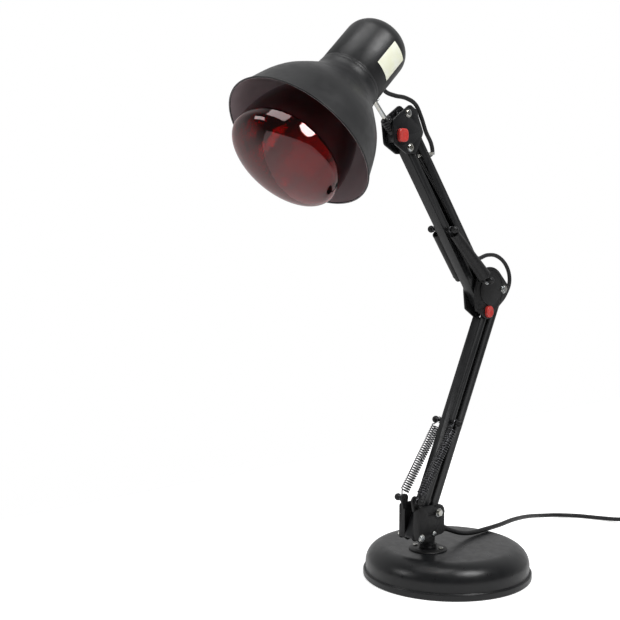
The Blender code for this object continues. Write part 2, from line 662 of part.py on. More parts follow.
def screw(name, matrix, low, foot, head_radius=SCREW_HEAD_RADIUS, radius=SCREW_RADIUS):
    """A round-headed screw along the matrix's Z: its head sits at low, its shank reaches to foot."""
    top = low + SCREW_HEAD_THICKNESS
    flat = head_radius * SCREW_FLAT_SHARE
    return turned(name, [(0.0, top), (flat, top), (head_radius, low + SCREW_HEAD_THICKNESS / 3), (head_radius, low),
                         (radius, low), (radius, foot), (0.0, foot)], STEEL, matrix, BOLT_STEPS)


def post():
    """The steel post that turns in the socket, with its ridged collar and the neck under the block."""
    collar = ESCUTCHEON_TOP + GAP
    ridges = []
    count = 3
    for i in range(count):
        depth = POST_RIDGE * (i % 2)
        high = collar + POST_COLLAR_HEIGHT * (1.0 - i / count)
        low = collar + POST_COLLAR_HEIGHT * (1.0 - (i + 1) / count)
        ridges += [(POST_COLLAR_RADIUS - depth, high), (POST_COLLAR_RADIUS - depth, low)]
    top = POST_TOP + POST_NECK_HEIGHT
    foot = ESCUTCHEON_TOP - POST_PIN_DEPTH
    turned("post", [(0.0, top), (POST_NECK_RADIUS - SLOT_DEPTH, top), (POST_NECK_RADIUS, top - SLOT_DEPTH),
                    (POST_NECK_RADIUS, POST_TOP), (POST_RADIUS - SLOT_DEPTH, POST_TOP),
                    (POST_RADIUS, POST_TOP - SLOT_DEPTH), (POST_RADIUS, collar + POST_COLLAR_HEIGHT), *ridges,
                    (POST_PIN_RADIUS, collar), (POST_PIN_RADIUS, foot + SLOT_DEPTH),
                    (POST_PIN_RADIUS - SLOT_DEPTH, foot), (0.0, foot)], BLACK_PAINT, at((POST_Y, 0.0)), POST_STEPS)


def bolt(name, place, half, material, radius=BOLT_RADIUS, head=BOLT_HEAD_RADIUS, nut=True, hexagon=False):
    """A bolt through two plates whose outer faces are at x = half and -half: its head near, its nut far."""
    near, far = half + GAP, -half - GAP
    matrix = along_x(place)
    foot = far - NUT_THICKNESS - SLOT_DEPTH if nut else far
    if hexagon:
        rim, thick = NUT_RADIUS + SLOT_DEPTH, SLOT_DEPTH
        crown = [(0.0, near + thick), (rim, near + thick)]
    else:
        rim, thick = head, BOLT_HEAD_THICKNESS
        crown = [(0.0, near + thick), (rim * 0.75, near + thick), (rim, near + thick / 3)]
    item = turned(name, [*crown, (rim, near), (radius, near), (radius, foot), (0.0, foot)], material, matrix,
                  BOLT_STEPS)
    if nut:
        join(item, rod(f"{name}_nut", NUT_RADIUS, far - NUT_THICKNESS, far, None, matrix, 6, cutter=True))
    if hexagon:
        join(item, rod(f"{name}_hexagon", NUT_RADIUS, near + thick / 2, near + NUT_THICKNESS, None, matrix, 6,
                       cutter=True))
    return item


def swivel():
    """The block on the post's neck, its two cheeks, their bolts, the springs' anchors and the strain relief."""
    top = BRACKET_FRONT_FOOT + (BLOCK_HEIGHT + (POST_TOP + GAP - BRACKET_FRONT_FOOT))
    foot = POST_TOP + GAP
    half = CHEEK_INNER - GAP
    block = box("swivel_block", (-half, BLOCK_FRONT, foot), (half, BLOCK_REAR, top), BLACK_PAINT)
    join(block, box("block_wall", (-half, WALL_FRONT, foot), (half, WALL_REAR, WALL_TOP), None, cutter=True))
    bolt_place = (BLOCK_FRONT + CHEEK_BOLT_INSET, (foot + top) / 2)
    relief = at(RELIEF_PLACE, turn=radians(90.0 + RELIEF_DROP))
    cut(block, rod("neck_bore", POST_NECK_RADIUS + GAP, foot - OVERRUN, foot + POST_NECK_HEIGHT, None,
                   at((POST_Y, 0.0)), POST_STEPS, cutter=True),
        rod("bolt_bore", SCREW_RADIUS + GAP, -half - OVERRUN, half + OVERRUN, None, along_x(bolt_place), cutter=True),
        rod("relief_bore", RELIEF_NECK_RADIUS + GAP, -RELIEF_INSIDE - OVERRUN, RELIEF_INSIDE + OVERRUN, None, relief,
            POST_STEPS, cutter=True))
    neck, tip = RELIEF_INSIDE, RELIEF_LENGTH
    wall = (WALL_REAR - RELIEF_PLACE[0] + GAP + RELIEF_RADIUS * sin(radians(RELIEF_DROP))) / cos(radians(RELIEF_DROP))
    turned("cord_relief", [(0.0, tip), (RELIEF_END_RADIUS, tip), (RELIEF_RADIUS, wall + RELIEF_SHOULDER),
                           (RELIEF_RADIUS, wall), (RELIEF_NECK_RADIUS, wall), (RELIEF_NECK_RADIUS, -neck),
                           (0.0, -neck)], CORD_BLACK, relief, POST_STEPS)
    for side, sign in SIDES.items():
        cheek(side, sign, bolt_place)
    bolt("cheek_bolt", bolt_place, CHEEK_HALF_WIDTH, STEEL, SCREW_RADIUS, SCREW_HEAD_RADIUS, nut=False)
    bolt("lower_front_pivot_bolt", LOWER_FRONT_PIVOT, CHEEK_HALF_WIDTH, STEEL)
    bolt("lower_rear_pivot_bolt", LOWER_REAR_PIVOT, CHEEK_HALF_WIDTH, STEEL, hexagon=True)


def cheek(side, sign, bolt_place):
    """One moulded side of the bracket, with its lip, bosses and the spring's ear."""
    def across(low, high):
        return sorted((sign * low, sign * high))

    corners = [(BRACKET_FRONT, BRACKET_FRONT_FOOT), (BRACKET_REAR, BRACKET_REAR_FOOT),
               (BRACKET_REAR, LOWER_REAR_PIVOT[1] - BRACKET_CORNER), (BRACKET_TOP_REAR, BRACKET_TOP),
               (BRACKET_FRONT, BRACKET_TOP)]
    item = plate(f"bracket_cheek_{side}", rounded(corners, BRACKET_CORNER), *across(CHEEK_INNER, CHEEK_HALF_WIDTH),
                 BLACK_PLASTIC, Matrix())
    ear_foot = ANCHOR_PLACE[1] - EAR_DROP
    ear = [*arc(ANCHOR_PLACE, EAR_RADIUS, 0.0, 180.0, 8), (ANCHOR_PLACE[0] - EAR_RADIUS / 2, ear_foot),
           (ANCHOR_PLACE[0] + EAR_RADIUS / 2, ear_foot)]
    inner = ELBOW_PLATE_INNER
    join(item,
         plate(f"lobe_{side}", ring(LOWER_REAR_PIVOT, BRACKET_LOBE, POST_STEPS), *across(CHEEK_INNER, CHEEK_HALF_WIDTH),
               None, Matrix(), cutter=True),
         box(f"lip_{side}", (across(inner, CHEEK_HALF_WIDTH)[0], BRACKET_FRONT, BRACKET_FRONT_FOOT + BRACKET_CORNER),
             (across(inner, CHEEK_HALF_WIDTH)[1], BRACKET_FRONT + LIP_DEPTH, BRACKET_TOP - BRACKET_CORNER), None,
             cutter=True),
         plate(f"ear_{side}", ear, *across(inner, inner + EAR_THICKNESS), None, Matrix(), cutter=True),
         *(rod(f"boss_{side}_{i}", BOSS_RADIUS, *across(inner, CHEEK_INNER + JOIN), None, along_x(place), cutter=True)
           for i, place in enumerate((LOWER_FRONT_PIVOT, LOWER_REAR_PIVOT))))
    reach = across(0.0, CHEEK_HALF_WIDTH + OVERRUN)
    for i, (place, radius) in enumerate(((LOWER_FRONT_PIVOT, BOLT_HOLE), (LOWER_REAR_PIVOT, BOLT_HOLE),
                                         (bolt_place, SCREW_RADIUS + GAP), (ANCHOR_PLACE, PEG_RADIUS + GAP))):
        cut(item, rod(f"cheek_hole_{side}_{i}", radius, *reach, None, along_x(place), cutter=True))
    half = SLOT_RECESS_LENGTH / 2
    cut(item, box(f"recess_{side}", (across(CHEEK_HALF_WIDTH - SLOT_RECESS_DEPTH, CHEEK_HALF_WIDTH + OVERRUN)[0],
                                     SLOT_RECESS_PLACE[0] - half, SLOT_RECESS_PLACE[1] - SLOT_RECESS_WIDTH / 2),
                  (across(CHEEK_HALF_WIDTH - SLOT_RECESS_DEPTH, CHEEK_HALF_WIDTH + OVERRUN)[1],
                   SLOT_RECESS_PLACE[0] + half, SLOT_RECESS_PLACE[1] + SLOT_RECESS_WIDTH / 2), None, cutter=True))
    stud(f"anchor_stud_{side}", sign, ANCHOR_PLACE, inner, inner + EAR_THICKNESS, KNOB_PLACE)


def stud(name, sign, place, inner, outer, knob):
    """A stud in one plate, with a flange outside it and a ball at its end."""
    ball = knob_profile(knob)
    flange = outer + GAP
    turned(name, [*ball, (PEG_RADIUS, flange + STUD_FLANGE_THICKNESS), (STUD_FLANGE, flange + STUD_FLANGE_THICKNESS),
                  (STUD_FLANGE, flange), (PEG_RADIUS, flange), (PEG_RADIUS, inner), (0.0, inner)], BLACK_PLASTIC,
           along_x(place) @ Matrix.Rotation(0.0 if sign > 0 else pi, 4, "Y"), BOLT_STEPS)


def knob_profile(place):
    """A ball's outline from its tip to where it meets its rod."""
    last = pi - asin(PEG_RADIUS / KNOB_RADIUS)
    return [(KNOB_RADIUS * sin(last * i / 5), place + KNOB_RADIUS * cos(last * i / 5)) for i in range(6)]


def peg(name, item, length):
    """A rod right through a bar at a length from its foot, with a ball at each end."""
    matrix = item.matrix_world @ Matrix.Translation((0.0, 0.0, length))
    cut(item, rod(f"{name}_hole", PEG_RADIUS + GAP, -BAR_HALF_WIDTH - OVERRUN, BAR_HALF_WIDTH + OVERRUN, None,
                  matrix @ Matrix.Rotation(pi / 2, 4, "Y"), cutter=True))
    ball = knob_profile(KNOB_PLACE)
    turned(name, [*ball, *((radius, -height) for radius, height in reversed(ball))], BLACK_PLASTIC,
           matrix @ Matrix.Rotation(pi / 2, 4, "Y"), BOLT_STEPS)


def bar(name, pivot, turn, length, open_rear):
    """A pressed channel with rounded ends and a hole at either pivot."""
    outline = [*arc((0.0, length), BAR_HALF_DEPTH, 0.0, 180.0, BAR_END_STEPS),
               *arc((0.0, 0.0), BAR_HALF_DEPTH, 180.0, 360.0, BAR_END_STEPS)]
    matrix = at(pivot, turn=turn)
    item = plate(name, outline, -BAR_HALF_WIDTH, BAR_HALF_WIDTH, BLACK_PAINT, Matrix())
    mesh = item.data
    mesh.transform(item.matrix_world)
    item.matrix_world = matrix
    inner = BAR_HALF_WIDTH - BAR_WALL
    web = BAR_HALF_DEPTH - BAR_WALL
    low, high = (-web, BAR_HALF_DEPTH + OVERRUN) if open_rear else (-BAR_HALF_DEPTH - OVERRUN, web)
    cut(item, box(f"{name}_channel", (-inner, low, -BAR_HALF_DEPTH - OVERRUN),
                  (inner, high, length + BAR_HALF_DEPTH + OVERRUN), None, matrix, cutter=True))
    for i, place in enumerate((0.0, length)):
        cut(item, rod(f"{name}_hole_{i}", BOLT_HOLE, -BAR_HALF_WIDTH - OVERRUN, BAR_HALF_WIDTH + OVERRUN, None,
                      matrix @ Matrix.Translation((0.0, 0.0, place)) @ Matrix.Rotation(pi / 2, 4, "Y"), cutter=True))
    return item


def arms():
    """The four bars, with the pegs through the front ones."""
    front = bar("lower_front_bar", LOWER_FRONT_PIVOT, LOWER_LEAN, LOWER_LENGTH, True)
    peg("lower_peg_rod", front, LOWER_LENGTH * LOWER_PEG_SHARE)
    matrix = front.matrix_world.copy()
    inner = BAR_HALF_WIDTH - BAR_WALL
    top = LOWER_LENGTH + BAR_HALF_DEPTH
    cut(front, box("fork", (-inner, -BAR_HALF_DEPTH - OVERRUN, top - FORK_LENGTH),
                   (inner, BAR_HALF_DEPTH, top + OVERRUN), None, matrix, cutter=True))
    upper = bar("upper_front_bar", ELBOW_PIVOT, UPPER_LEAN, UPPER_LENGTH, True)
    peg("upper_peg_rod", upper, UPPER_LENGTH * UPPER_PEG_SHARE)
    turn = upper.matrix_world.copy()
    cut(upper, box("upper_foot", (-BAR_HALF_WIDTH - OVERRUN, -BAR_HALF_DEPTH - OVERRUN, -BAR_HALF_DEPTH - OVERRUN),
                   (BAR_HALF_WIDTH + OVERRUN, BAR_HALF_DEPTH + OVERRUN, TONGUE_LENGTH), None, turn, cutter=True))
    end = TONGUE_LENGTH + TONGUE_OVERLAP
    tongue = plate("tongue", [(TONGUE_HALF_DEPTH, end), (-TONGUE_HALF_DEPTH - JOIN, end),
                              (-TONGUE_HALF_DEPTH - JOIN, TONGUE_LENGTH + JOIN),
                              (-TONGUE_HALF_DEPTH, TONGUE_LENGTH + JOIN / 2),
                              *arc((0.0, 0.0), TONGUE_HALF_DEPTH, 180.0, 360.0, BAR_END_STEPS)],
                   -TONGUE_HALF_WIDTH, TONGUE_HALF_WIDTH, None, turn, cutter=True)
    web = box("tongue_web", (-inner - JOIN, -BAR_HALF_DEPTH + JOIN, TONGUE_LENGTH + 2 * JOIN),
              (inner + JOIN, TONGUE_HALF_DEPTH - JOIN, end - JOIN), None, turn, cutter=True)
    join(upper, tongue, web)
    cut(upper, rod("tongue_hole", BOLT_HOLE, -BAR_HALF_WIDTH, BAR_HALF_WIDTH, None,
                   turn @ Matrix.Rotation(pi / 2, 4, "Y"), cutter=True))
    rear = bar("lower_rear_bar", LOWER_REAR_PIVOT, LOWER_LEAN, LOWER_LENGTH, False)
    upper_rear = bar("upper_rear_bar", ELBOW_UPPER_PIVOT, UPPER_LEAN, UPPER_LENGTH, False)
    for item, slots in ((rear, (LOWER_WEB_SLOT,)), (upper_rear, UPPER_WEB_SLOTS)):
        for i, (low, high) in enumerate(slots):
            cut(item, box(f"{item.name}_slot_{i}", (-WEB_SLOT_HALF_WIDTH, 0.0, low),
                          (WEB_SLOT_HALF_WIDTH, BAR_HALF_DEPTH + OVERRUN, high), None, item.matrix_world.copy(),
                          cutter=True))


def spring(name, first, last, sign, first_x, last_x, curls, coil):
    """A coil with a hook at either end, from one anchor to the other."""
    low = Vector((sign * first_x, *first))
    high = Vector((sign * last_x, *last))
    length = (high - low).length
    turn = (high - low).to_track_quat("Z", "X").to_matrix().to_4x4()
    matrix = Matrix.Translation(low) @ turn
    points = hook(SPRING_HOOK, coil, SPRING_LEAD)
    wound = length - 2 * SPRING_LEAD
    steps = curls * CURL_POINTS
    helix = [Vector((coil * cos(2 * pi * i / CURL_POINTS), coil * sin(2 * pi * i / CURL_POINTS),
                     SPRING_LEAD + wound * i / steps)) for i in range(steps + 1)]
    end = [Vector((p.x, -p.y, length - p.z)) for p in reversed(points)]
    item = tube(name, [*points, *helix, *end], SPRING_WIRE, SPRING_STEEL, matrix, 1)
    gap = wound / curls - 2 * SPRING_WIRE
    print(f"{name}: least gap of the coil to itself {gap * 1000:.2f} mm")
    return item


def hook(radius, coil, lead):
    """A loop round an anchor at the origin, open towards the coil, and its rise to the coil."""
    half = pi - HOOK_OPENING / 2
    turns = [half * (2 * i / (HOOK_STEPS - 1) - 1) for i in range(HOOK_STEPS)]
    loop = [Vector((radius * sin(a), 0.0, -radius * cos(a))) for a in turns]
    rise = [Vector((coil * across, 0.0, lead * up)) for across, up in HOOK_RISE_SHARES]
    return [*loop, *rise]


def springs():
    """The two bare lower springs, the two upper ones and the sleeves over those."""
    for side, sign in SIDES.items():
        spring(f"lower_spring_{side}", ANCHOR_PLACE, LOWER_PEG_PLACE, sign, SPRING_PLACE, SPRING_PLACE, SPRING_CURLS,
               SPRING_COIL)
        spring(f"upper_spring_{side}", UPPER_PEG_PLACE, ELBOW_STUD_PLACE, sign, SLEEVE_TOP_PLACE, SLEEVE_END_PLACE,
               UPPER_SPRING_CURLS, UPPER_SPRING_COIL)
        high = Vector((sign * SLEEVE_TOP_PLACE, *UPPER_PEG_PLACE))
        low = Vector((sign * SLEEVE_END_PLACE, *ELBOW_STUD_PLACE))
        length = (high - low).length - 2 * SLEEVE_MARGIN
        turn = (high - low).to_track_quat("Z", "X").to_matrix().to_4x4()
        foot = Matrix.Translation(low) @ turn @ Matrix.Translation((0.0, 0.0, SLEEVE_MARGIN))
        turned(f"upper_sleeve_{side}", [
            (SLEEVE_TOP_RADIUS - SLEEVE_WALL, length), (SLEEVE_TOP_RADIUS, length), (SLEEVE_END_RADIUS, 0.0),
            (SLEEVE_END_RADIUS - SLEEVE_WALL, 0.0)], BLACK_PLASTIC, foot, POST_STEPS, ring=True)


def elbow():
    """The two plates at the elbow, their bolts and studs and the red knob."""
    for side, sign in SIDES.items():
        x = sorted((sign * ELBOW_PLATE_INNER, sign * PLATE_OUTER))
        outline = around(ring(ELBOW_DISC_PLACE, ELBOW_DISC_RADIUS, 2 * COVER_STEPS),
                         ring(ELBOW_REAR_PIVOT, ELBOW_REAR_LOBE, POST_STEPS),
                         ring(ELBOW_PIVOT, ELBOW_FOOT_LOBE, POST_STEPS),
                         ring(ELBOW_CORNER_PLACE, ELBOW_CORNER_ROUND))
        item = plate(f"elbow_plate_{side}", outline, *x, BLACK_PLASTIC, Matrix())
        join(item,
             plate(f"raise_{side}", ring(ELBOW_DISC_PLACE, ELBOW_DISC_RADIUS - ELBOW_DISC_INSET, COVER_STEPS),
                   *sorted((sign * (PLATE_OUTER - JOIN), sign * (PLATE_OUTER + ELBOW_DISC_RAISE))), None, Matrix(),
                   cutter=True))
        reach = sorted((sign * (ELBOW_PLATE_INNER - OVERRUN), sign * (PLATE_OUTER + 2 * OVERRUN)))
        for i, (place, radius) in enumerate(((ELBOW_PIVOT, BOLT_HOLE), (ELBOW_REAR_PIVOT, BOLT_HOLE),
                                             (ELBOW_UPPER_PIVOT, BOLT_HOLE), (ELBOW_STUD_PLACE, PEG_RADIUS + GAP))):
            cut(item, rod(f"elbow_hole_{side}_{i}", radius, *reach, None, along_x(place), cutter=True))
        stud(f"elbow_stud_{side}", sign, ELBOW_STUD_PLACE, ELBOW_PLATE_INNER, PLATE_OUTER, ELBOW_KNOB_PLACE)
    bolt("elbow_main_bolt", ELBOW_PIVOT, PLATE_OUTER, STEEL)
    raised = PLATE_OUTER + ELBOW_DISC_RAISE
    bolt("elbow_upper_bolt", ELBOW_UPPER_PIVOT, raised, STEEL)
    bolt("elbow_rear_bolt", ELBOW_REAR_PIVOT, PLATE_OUTER, STEEL, hexagon=True)
    cap("elbow_knob", ELBOW_PIVOT, PLATE_OUTER, CAP_WIDTH, CAP_LENGTH, CAP_ROUND_SHARE)


def cap(name, place, outer, width, length, roundness):
    """A red knob over a bolt's head, hollow behind."""
    low = outer + 2 * GAP
    matrix = at(place, low)
    corners = [(-width / 2, -length / 2), (width / 2, -length / 2), (width / 2, length / 2), (-width / 2, length / 2)]
    item = plate(name, rounded(corners, width * roundness, 3), 0.0, CAP_THICKNESS, RED_PLASTIC, matrix)
    bevel = item.modifiers.new("edges", "BEVEL")
    bevel.width = CAP_EDGE
    bevel.segments = 1
    bevel.limit_method = "ANGLE"
    bevel.angle_limit = radians(60.0)
    cut(item, rod(f"{name}_hollow", BOLT_HEAD_RADIUS + GAP, -OVERRUN, BOLT_HEAD_THICKNESS + GAP, None,
                  matrix @ Matrix.Rotation(pi / 2, 4, "Y"), cutter=True))
    return item


def head_bracket():
    """The two plates at the top of the arms, their bolts, the hub between them and its knob."""
    for side, sign in SIDES.items():
        x = sorted((sign * ELBOW_PLATE_INNER, sign * HEAD_PLATE_OUTER))
        corners = [shifted(HEAD_LOW_PIVOT, offset) for offset in HEAD_PLATE_OFFSETS]
        item = plate(f"head_plate_{side}", rounded(corners, HEAD_PLATE_CORNER), *x, BLACK_PAINT, Matrix())
        reach = sorted((sign * (ELBOW_PLATE_INNER - OVERRUN), sign * (HEAD_PLATE_OUTER + OVERRUN)))
        for i, place in enumerate((HEAD_LOW_PIVOT, HEAD_UP_PIVOT, TILT_PIVOT)):
            cut(item, rod(f"head_hole_{side}_{i}", BOLT_HOLE, *reach, None, along_x(place), cutter=True))
    bolt("head_low_bolt", HEAD_LOW_PIVOT, HEAD_PLATE_OUTER, STEEL)
    bolt("head_up_bolt", HEAD_UP_PIVOT, HEAD_PLATE_OUTER, STEEL)
    bolt("head_tilt_bolt", TILT_PIVOT, HEAD_PLATE_OUTER, STEEL)
    cap("head_knob", TILT_PIVOT, HEAD_PLATE_OUTER, HEAD_CAP_SIZE, HEAD_CAP_SIZE, HEAD_CAP_ROUND_SHARE)
    width = ELBOW_PLATE_INNER - GAP
    hub = rod("head_hub", HUB_RADIUS, -width, width, BLACK_PAINT, along_x(TILT_PIVOT), POST_STEPS)
    stem_way = at(TILT_PIVOT, turn=HEAD_LEAN - pi / 2)
    join(hub, rod("hub_neck", HUB_NECK_RADIUS, 0.0, HUB_NECK_LENGTH, None, stem_way, POST_STEPS, cutter=True))
    cut(hub, rod("hub_bore", STEM_RADIUS + GAP, HUB_NECK_LENGTH - STEM_DEPTH, HUB_NECK_LENGTH + OVERRUN, None,
                 stem_way, cutter=True),
        rod("hub_hole", BOLT_HOLE, -width - OVERRUN, width + OVERRUN, None, along_x(TILT_PIVOT), cutter=True))


def head():
    """The shade, the cover, the holder, the bulb with its cap, the stem and the small screw."""
    hole = SHADE_NECK_RADIUS
    side = [(hole + (RIM_RADIUS - hole) * across, -SHADE_LENGTH * depth) for depth, across in SHADE_SHARES]
    outer = [(SHADE_HOLE_RADIUS, 0.0), (hole - RIM_BEAD, 0.0), (hole, -RIM_BEAD), *side, (RIM_RADIUS, -SHADE_LENGTH)]
    turned("shade", shell(outer, SHADE_THICKNESS), BLACK_PAINT, HEAD, HEAD_STEPS, ring=True)
    low, high = GAP, COVER_LENGTH
    dome = quarter((COVER_TOP_FLAT, high - COVER_DOME), COVER_RADIUS - COVER_TOP_FLAT, COVER_DOME, 5)
    cover = turned("lamp_cover", shell([(0.0, high), *dome, (COVER_RADIUS, low)], SHADE_THICKNESS), BLACK_PAINT, HEAD,
                   COVER_STEPS)
    neck = TILT_IN_HEAD.y - COVER_RADIUS
    stem_way = at(TILT_PIVOT, turn=HEAD_LEAN - pi / 2)
    inside = TILT_IN_HEAD.y - COVER_RADIUS + SHADE_THICKNESS
    thick = STEM_FLANGE_THICKNESS
    nut = STEM_FLANGE_RADIUS / 2
    nut_face = inside + nut * tan(pi / COVER_STEPS) + GAP
    foot = HUB_NECK_LENGTH - STEM_DEPTH + GAP
    turned("stem", [(0.0, inside + STEM_NUT), (nut, inside + STEM_NUT), (nut, nut_face), (STEM_RADIUS, nut_face),
                    (STEM_RADIUS, neck - GAP), (STEM_FLANGE_RADIUS, neck - GAP),
                    (STEM_FLANGE_RADIUS, neck - GAP - thick), (STEM_RADIUS, neck - GAP - thick), (STEM_RADIUS, foot),
                    (0.0, foot)], STEEL, stem_way, BOLT_STEPS)
    cut(cover, rod("stem_hole", STEM_RADIUS + GAP, neck - OVERRUN, neck + OVERRUN * 2, None, stem_way, cutter=True))
    lead_way = HEAD @ Matrix.Translation((0.0, 0.0, LEAD_HOLE_U)) @ Matrix.Rotation(-pi / 2, 4, "X")
    cut(cover, rod("lead_hole", LEAD_RADIUS + LEAD_EASE, COVER_RADIUS / 2, COVER_RADIUS + OVERRUN * 2, None, lead_way,
                   cutter=True))
    small = HEAD @ Matrix.Translation((0.0, 0.0, COVER_SCREW_U)) @ Matrix.Rotation(radians(COVER_SCREW_ANGLE), 4, "Z")
    small = small @ Matrix.Rotation(pi / 2, 4, "Y")
    screw("cover_screw", small, COVER_RADIUS + GAP, COVER_RADIUS - SHADE_THICKNESS - SCREW_REACH / 2,
          COVER_SCREW_RADIUS, COVER_SCREW_RADIUS / 2)
    cut(cover, rod("cover_screw_hole", COVER_SCREW_RADIUS / 2 + GAP, COVER_RADIUS / 2, COVER_RADIUS + OVERRUN, None,
                   small, cutter=True))
    foot = GAP
    flange = COVER_RADIUS - SHADE_THICKNESS - GAP
    floor = foot + HOLDER_LENGTH - HOLDER_FLOOR
    turned("lamp_holder", [(0.0, foot + HOLDER_LENGTH), (HOLDER_RADIUS, foot + HOLDER_LENGTH),
                           (HOLDER_RADIUS, foot + HOLDER_FLANGE), (flange, foot + HOLDER_FLANGE), (flange, foot),
                           (HOLDER_BORE, foot), (HOLDER_BORE, floor), (0.0, floor)], CERAMIC, HEAD, COVER_STEPS)
    bulb()


def bulb():
    """The glass, open at its neck, and the screwed cap on it."""
    face = quarter((0.0, BULB_WIDEST), BULB_RADIUS, -BULB_FACE, 6)
    neck_foot = BULB_NECK_END - BULB_NECK_LENGTH
    back = []
    for i in range(1, BULB_BACK_STEPS + 1):
        share = i / BULB_BACK_STEPS
        ease = cos(pi / 2 * share ** BULB_BACK_POWER)
        back.append((BULB_NECK_RADIUS + (BULB_RADIUS - BULB_NECK_RADIUS) * ease,
                     BULB_WIDEST + (neck_foot - BULB_WIDEST) * share))
    outer = [*face, *back, BULB_NECK_TAPER, (BULB_NECK_TAPER[0], BULB_NECK_END)]
    inner = inset([(r, -u) for r, u in outer], GLASS_THICKNESS)
    inner = [(r, -u) for r, u in inner]
    turned("bulb_glass", [*reversed(outer), *inner], RUBY_GLASS, HEAD, BULB_STEPS, ring=True)
    foot = BULB_NECK_END + GAP
    top = foot + CAP_DEPTH
    threads = []
    count = 3
    for i in range(count):
        u = top - CAP_TIP - (CAP_DEPTH - CAP_TIP - CAP_COLLAR) * i / count
        step = (CAP_DEPTH - CAP_TIP - CAP_COLLAR) / count
        threads += [(CAP_RADIUS - THREAD_DEPTH, u), (CAP_RADIUS, u - step / 2)]
    turned("bulb_cap", [(0.0, top), (CAP_RADIUS / 3, top), (CAP_RADIUS / 2, top - CAP_TIP / 2), *threads,
                        (CAP_COLLAR_RADIUS, foot + CAP_COLLAR), (CAP_COLLAR_RADIUS, foot), (0.0, foot)], CAP_METAL, HEAD, BULB_STEPS)


def cords():
    """The lead in the arms, the mains cord, the switch, the coil and the plug."""
    tube("lead", route(LEAD_ROUTE, LEAD_STEP), LEAD_RADIUS, CORD_BLACK)
    cord = route(CORD_ROUTE, CORD_STEP)
    tube("mains_cord", cord, CORD_RADIUS, CORD_BLACK)
    end = Vector(CORD_ROUTE[-1])
    low = end.x + GAP
    high = low + SWITCH_LENGTH
    half = SWITCH_WIDTH / 2
    corners = [(end.y - half, SWITCH_FOOT), (end.y + half, SWITCH_FOOT), (end.y + half, SWITCH_FOOT + SWITCH_HEIGHT),
               (end.y - half, SWITCH_FOOT + SWITCH_HEIGHT)]
    housing = plate("cord_switch_housing", rounded(corners, SWITCH_ROUND), low, high, BLACK_PLASTIC, Matrix())
    top = SWITCH_FOOT + SWITCH_HEIGHT
    middle = (low + high) / 2
    pocket = (ROCKER_LENGTH / 2 + RUN, ROCKER_WIDTH / 2 + RUN)
    cut(housing, box("rocker_pocket", (middle - pocket[0], end.y - pocket[1], top - ROCKER_DEPTH),
                     (middle + pocket[0], end.y + pocket[1], top + OVERRUN), None, cutter=True))
    rocker(middle, end.y, top)
    coil(high + GAP, end.y, end.z)


def rocker(x, y, top):
    """The rocker: its top is hollowed like a shallow V, and its axis is along Y just under the housing's top."""
    half, depth = ROCKER_LENGTH / 2, ROCKER_DEPTH - ROCKER_AXIS_DROP - RUN
    axis = top - ROCKER_AXIS_DROP
    swing = radians(ROCKER_THROW)
    reach = half - RUN
    outline = [(-reach, ROCKER_AXIS_DROP + ROCKER_RISE), (-reach, -depth / 3), (0.0, -depth), (reach, -depth / 3),
               (reach, ROCKER_AXIS_DROP + ROCKER_RISE - 2 * reach * sin(swing / 2)), (0.0, ROCKER_AXIS_DROP)]
    shape = bmesh.new()
    rings = []
    for across in (-ROCKER_WIDTH / 2, ROCKER_WIDTH / 2):
        rings.append([shape.verts.new((u, across, v)) for u, v in outline])
    for i in range(len(outline)):
        k = (i + 1) % len(outline)
        shape.faces.new((rings[0][i], rings[0][k], rings[1][k], rings[1][i]))
    shape.faces.new(rings[0])
    shape.faces.new(rings[1])
    bmesh.ops.triangulate(shape, faces=[f for f in shape.faces if len(f.verts) > 4])
    bmesh.ops.recalc_face_normals(shape, faces=shape.faces)
    mesh = bpy.data.meshes.new("cord_switch_rocker")
    shape.to_mesh(mesh)
    shape.free()
    keep("cord_switch_rocker", mesh, BLACK_PLASTIC, Matrix.Translation((x, y, axis)))


